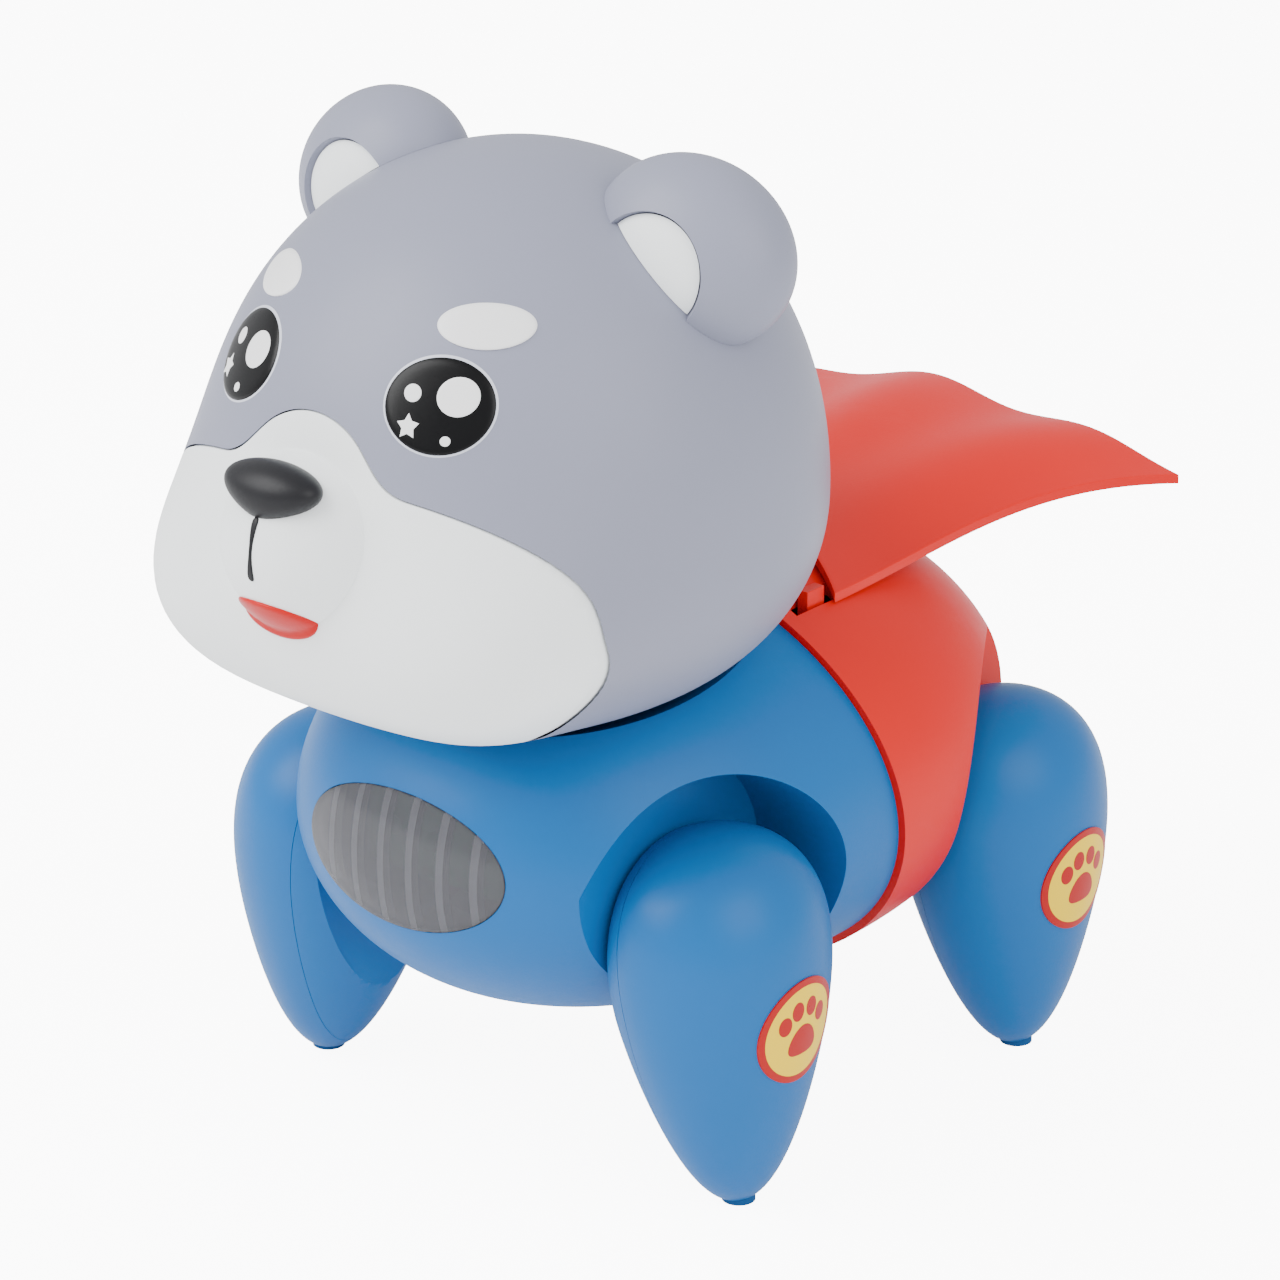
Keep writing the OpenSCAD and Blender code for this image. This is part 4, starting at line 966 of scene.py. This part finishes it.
def leg_half(outer):
    """One half shell of a left leg, drawn at Y = 0."""
    shell = drop(0)
    carve(shell, block((-FAR, -FAR, -FAR), (leg_x, FAR, FAR)))
    carve(shell, block((-FAR, -FAR, -FAR), (FAR, FAR, foot_cut)))
    c, s = math.cos(math.radians(leg_splay)), math.sin(math.radians(leg_splay))
    cut = leg_seam + (0.05 if outer else -0.05)
    side = prism([(cut, -FAR), (FAR, -FAR), (FAR, FAR), (cut, FAR)] if outer else
                 [(-FAR, -FAR), (cut, -FAR), (cut, FAR), (-FAR, FAR)], "z", -FAR, FAR)
    lean = Matrix(((c, 0, -s, 0), (0, 1, 0, 0), (s, 0, c, 0), (0, 0, 0, 1)))
    side.data.transform(Matrix.Translation((foot_x * MM, 0, 0)) @ lean)
    carve(shell, side, "INTERSECT")
    room = drop(-leg_wall, 48, 36)
    carve(room, block((-FAR, -FAR, -FAR), (leg_x + leg_wall, FAR, FAR)))
    carve(room, block((-FAR, -FAR, -FAR), (FAR, FAR, pad_top + pad_roof)))
    if not outer:
        carve(room, prism(circle(socket_r, 0, axle_z), "x", 0, leg_x + socket_reach))
    carve(shell, room)
    carve(shell, prism(circle(pad_d / 2 + pad_gap, foot_x, 0), "z", -1, pad_top - 2))
    if not outer:
        carve(shell, prism(circle(axle_hole_r, 0, axle_z), "x", 0, FAR))
    return smooth(shell)


def laid_on_leg(outline, top):
    """A thin film on the leg's outer side, cut from a slightly fatter drop."""
    sheet = carve(drop(top), drop(film_gap))
    carve(sheet, prism(outline, "x", foot_x, FAR), "INTERSECT")
    return smooth(sheet)


sticker_r, sticker_z, rim_w = 8.5, 32, 1.1
film_gap, label_t, label_rim_t, ink_t = 0.03, 0.28, 0.3, 0.33
leg_blue = moulded("leg blue plastic", (0.003, 0.115, 0.35), 0.4)
sticker_yellow = moulded("yellow sticker film", (0.9, 0.6, 0.002), 0.3, 0.01, 3200, 0.03, 0.08)
sticker_red = moulded("red sticker ink", (0.42, 0.003, 0.002), 0.3, 0.01, 3200, 0.03, 0.08)
outer_half, inner_half = leg_half(True), leg_half(False)
label_face = laid_on_leg(circle(sticker_r - rim_w, 0, sticker_z, 72), label_t)
label_rim = carve(laid_on_leg(circle(sticker_r, 0, sticker_z, 72), label_rim_t),
                  prism(circle(sticker_r - rim_w, 0, sticker_z, 72), "x", 0, FAR))
smooth(label_rim)
heel = [(3.1 * math.cos(t), sticker_z - 1.9 + 2.5 * math.sin(t) - 0.5 * math.cos(2 * t))
        for t in np.linspace(0, math.tau, 48, False)]
paw = [laid_on_leg(heel, ink_t)]
for turn in (-54, -18, 18, 54):
    a = math.radians(turn)
    toe = circle(1.25, 5 * math.sin(a), sticker_z - 1 + 4.9 * math.cos(a), 32, 1.25)
    paw.append(laid_on_leg(toe, ink_t))
steel = metal("axle steel", (0.62, 0.62, 0.64))
foot_rubber = moulded("foot rubber", (0.004, 0.07, 0.22), 0.7, 0.1, 1600, 0.1, 0.6)
for side in (1, -1):
    for end, axle in (("front", axle_front), ("rear", axle_rear)):
        corner = f"{end}_{'left' if side > 0 else 'right'}"
        body = f"leg_{corner}"
        for source, label, slot, finish, nodes in (
                (outer_half, "leg_cover", "blue_shell", leg_blue, [f"leg_outer_{corner}"]),
                (inner_half, "leg_back", "blue_shell", leg_blue, [f"leg_inner_{corner}"]),
                (label_face, "sticker_face", "sticker", sticker_yellow, [f"leg_sticker_{corner}"]),
                (label_rim, "sticker_rim", "sticker", sticker_red, []),
                *((pad, f"sticker_paw_{i}", "sticker", sticker_red, []) for i, pad in enumerate(paw))):
            hand_over(twin(source, f"{label}_{corner}", side, axle[1]), body, slot, finish, *nodes)
        dress(steel, f"leg_axle_{corner}")
        dress(foot_rubber, f"foot_pad_{corner}")
for spare in (outer_half, inner_half, label_face, label_rim, *paw):
    bpy.data.objects.remove(spare)

# ---- Drive ----
# A motor can, three pairs of nylon gears and a crank shaft sit between two white plates. Two
# links carry the crank's motion to steel drive arms on the axles, which turn in tan bushes.
nylon = moulded("gear nylon", (0.84, 0.8, 0.68), 0.45, 0.06, 900, 0.06, 0.2)
dress(nylon, "motor_pinion", "first_gear", "second_gear", "crank_gear", "neck_bush")
dress(moulded("plate plastic", (0.74, 0.74, 0.71), 0.5, 0.05), "gearbox_left_plate", "gearbox_right_plate")
dress(moulded("link plastic", (0.7, 0.68, 0.6), 0.42, 0.07), "link_left", "link_right")
dress(moulded("tan bush", (0.64, 0.5, 0.31), 0.4, 0.08), "leg_bushes")
dress(steel, "gear_pins", "crank_shaft")
dress(metal("motor can", (0.5, 0.5, 0.52), 0.36, (1, 5, 5)), "motor")

# ---- Power, sound and light ----
# Three wrapped cells lie in a dark box over the door, with sprung steel contacts. A green
# board, a speaker, a slide switch and a small lamp board are wired inside.
chassis = moulded("chassis plastic", (0.12, 0.12, 0.13), 0.5, 0.06)
dress(chassis, "battery_box", "switch_body", "neck_post", "speaker")
dress(moulded("switch knob", (0.015, 0.015, 0.016), 0.35, 0.05), "switch_knob")
dress(metal("contact steel", (0.66, 0.64, 0.6), 0.22, (6, 1, 6)), "battery_contacts")


def two_tone(tree, shader, factor, first, second):
    mix = tree.nodes.new("ShaderNodeMix")
    mix.data_type = "RGBA"
    mix.inputs["A"].default_value = first
    mix.inputs["B"].default_value = second
    tree.links.new(factor, mix.inputs["Factor"])
    tree.links.new(mix.outputs["Result"], shader.inputs["Base Color"])


def board_material():
    """Green solder mask over copper tracks that run in short right-angled steps."""
    material, tree, shader = new_material("circuit board")
    where = tree.nodes.new("ShaderNodeTexCoord").outputs["Object"]
    cells = tree.nodes.new("ShaderNodeTexVoronoi")
    cells.distance = "MANHATTAN"
    cells.feature = "F1"
    cells.inputs["Scale"].default_value = 420
    tree.links.new(where, cells.inputs["Vector"])
    track = remap(tree, cells.outputs["Distance"], 0.45, 0.5, 0, 1)
    two_tone(tree, shader, track, (0.02, 0.2, 0.08, 1), (0.05, 0.34, 0.14, 1))
    tree.links.new(remap(tree, track, 0, 1, 0.38, 0.26), shader.inputs["Roughness"])
    bump(tree, shader, track, 0.4, 0.00003)
    return material


dress(board_material(), "main_board", "light_board")


def cell_material():
    """A printed cell wrap: a dark body and a copper-coloured band at one end."""
    material, tree, shader = new_material("cell wrap")
    where = tree.nodes.new("ShaderNodeTexCoord").outputs["Object"]
    along = tree.nodes.new("ShaderNodeSeparateXYZ")
    tree.links.new(where, along.inputs["Vector"])
    band = remap(tree, along.outputs["Y"], (middle_y + 11.8) * MM, (middle_y + 12) * MM, 0, 1)
    two_tone(tree, shader, band, (0.03, 0.03, 0.035, 1), (0.72, 0.36, 0.1, 1))
    sheen = remap(tree, noise_node(tree, where, 500, 3), 0.3, 0.7, 0.22, 0.34)
    tree.links.new(sheen, shader.inputs["Roughness"])
    return material


dress(cell_material(), "battery_cells")

# ---- Studio ----
# A pale seamless floor under soft light from a wide sky and two large lamps, seen from the
# puppy's left front and a little above.
floor_half = 6000
floor_corners = [(floor_half * x, floor_half * y, 0) for x, y in ((-1, -1), (1, -1), (1, 1), (-1, 1))]
floor = mesh_piece("studio_floor", floor_corners, [(0, 1, 2, 3)])
floor_material, floor_tree, floor_shader = new_material("pale floor")
paper = noise_node(floor_tree, floor_tree.nodes.new("ShaderNodeTexCoord").outputs["Object"], 400, 3)
floor_tree.links.new(remap(floor_tree, paper, 0.3, 0.7, 0.78, 0.86), floor_shader.inputs["Roughness"])
floor_shader.inputs["Base Color"].default_value = (0.9, 0.9, 0.9, 1)
seen = floor_tree.nodes.new("ShaderNodeLightPath").outputs["Is Camera Ray"]
glow = remap(floor_tree, seen, 0, 1, 0.04, 1)
floor_tree.links.new(glow, floor_shader.inputs["Emission Color"])
floor_shader.inputs["Emission Strength"].default_value = 9
floor.data.materials.append(floor_material)

look_at = Vector((-6.87, 9.25, 68.2)) * MM
around, above, away = math.radians(39.64), math.radians(21.5), 0.844
eye_dir = Vector((math.sin(around) * math.cos(above), -math.cos(around) * math.cos(above), math.sin(above)))
camera_data = bpy.data.cameras.new("camera")
camera_data.lens = 150
camera_data.sensor_width = 36
camera_data.clip_start = 0.01
camera = bpy.data.objects.new("camera", camera_data)
camera.location = look_at + eye_dir * away
camera.rotation_euler = eye_dir.to_track_quat("Z", "Y").to_euler()
bpy.context.scene.collection.objects.link(camera)
bpy.context.scene.camera = camera

world = bpy.data.worlds.new("soft sky")
world.use_nodes = True
world.node_tree.nodes["Background"].inputs["Color"].default_value = (0.97, 0.98, 1, 1)
world.node_tree.nodes["Background"].inputs["Strength"].default_value = 1.05
bpy.context.scene.world = world
for name, place, size, power in (("key lamp", (-0.5, -0.75, 0.95), 0.9, 21),
                                 ("side lamp", (0.95, -0.1, 0.7), 0.8, 7)):
    lamp = bpy.data.lights.new(name, "AREA")
    lamp.size = size
    lamp.energy = power
    holder = bpy.data.objects.new(name, lamp)
    holder.location = place
    holder.rotation_euler = (Vector(place) - Vector((0, 0, 0.08))).to_track_quat("Z", "Y").to_euler()
    bpy.context.scene.collection.objects.link(holder)
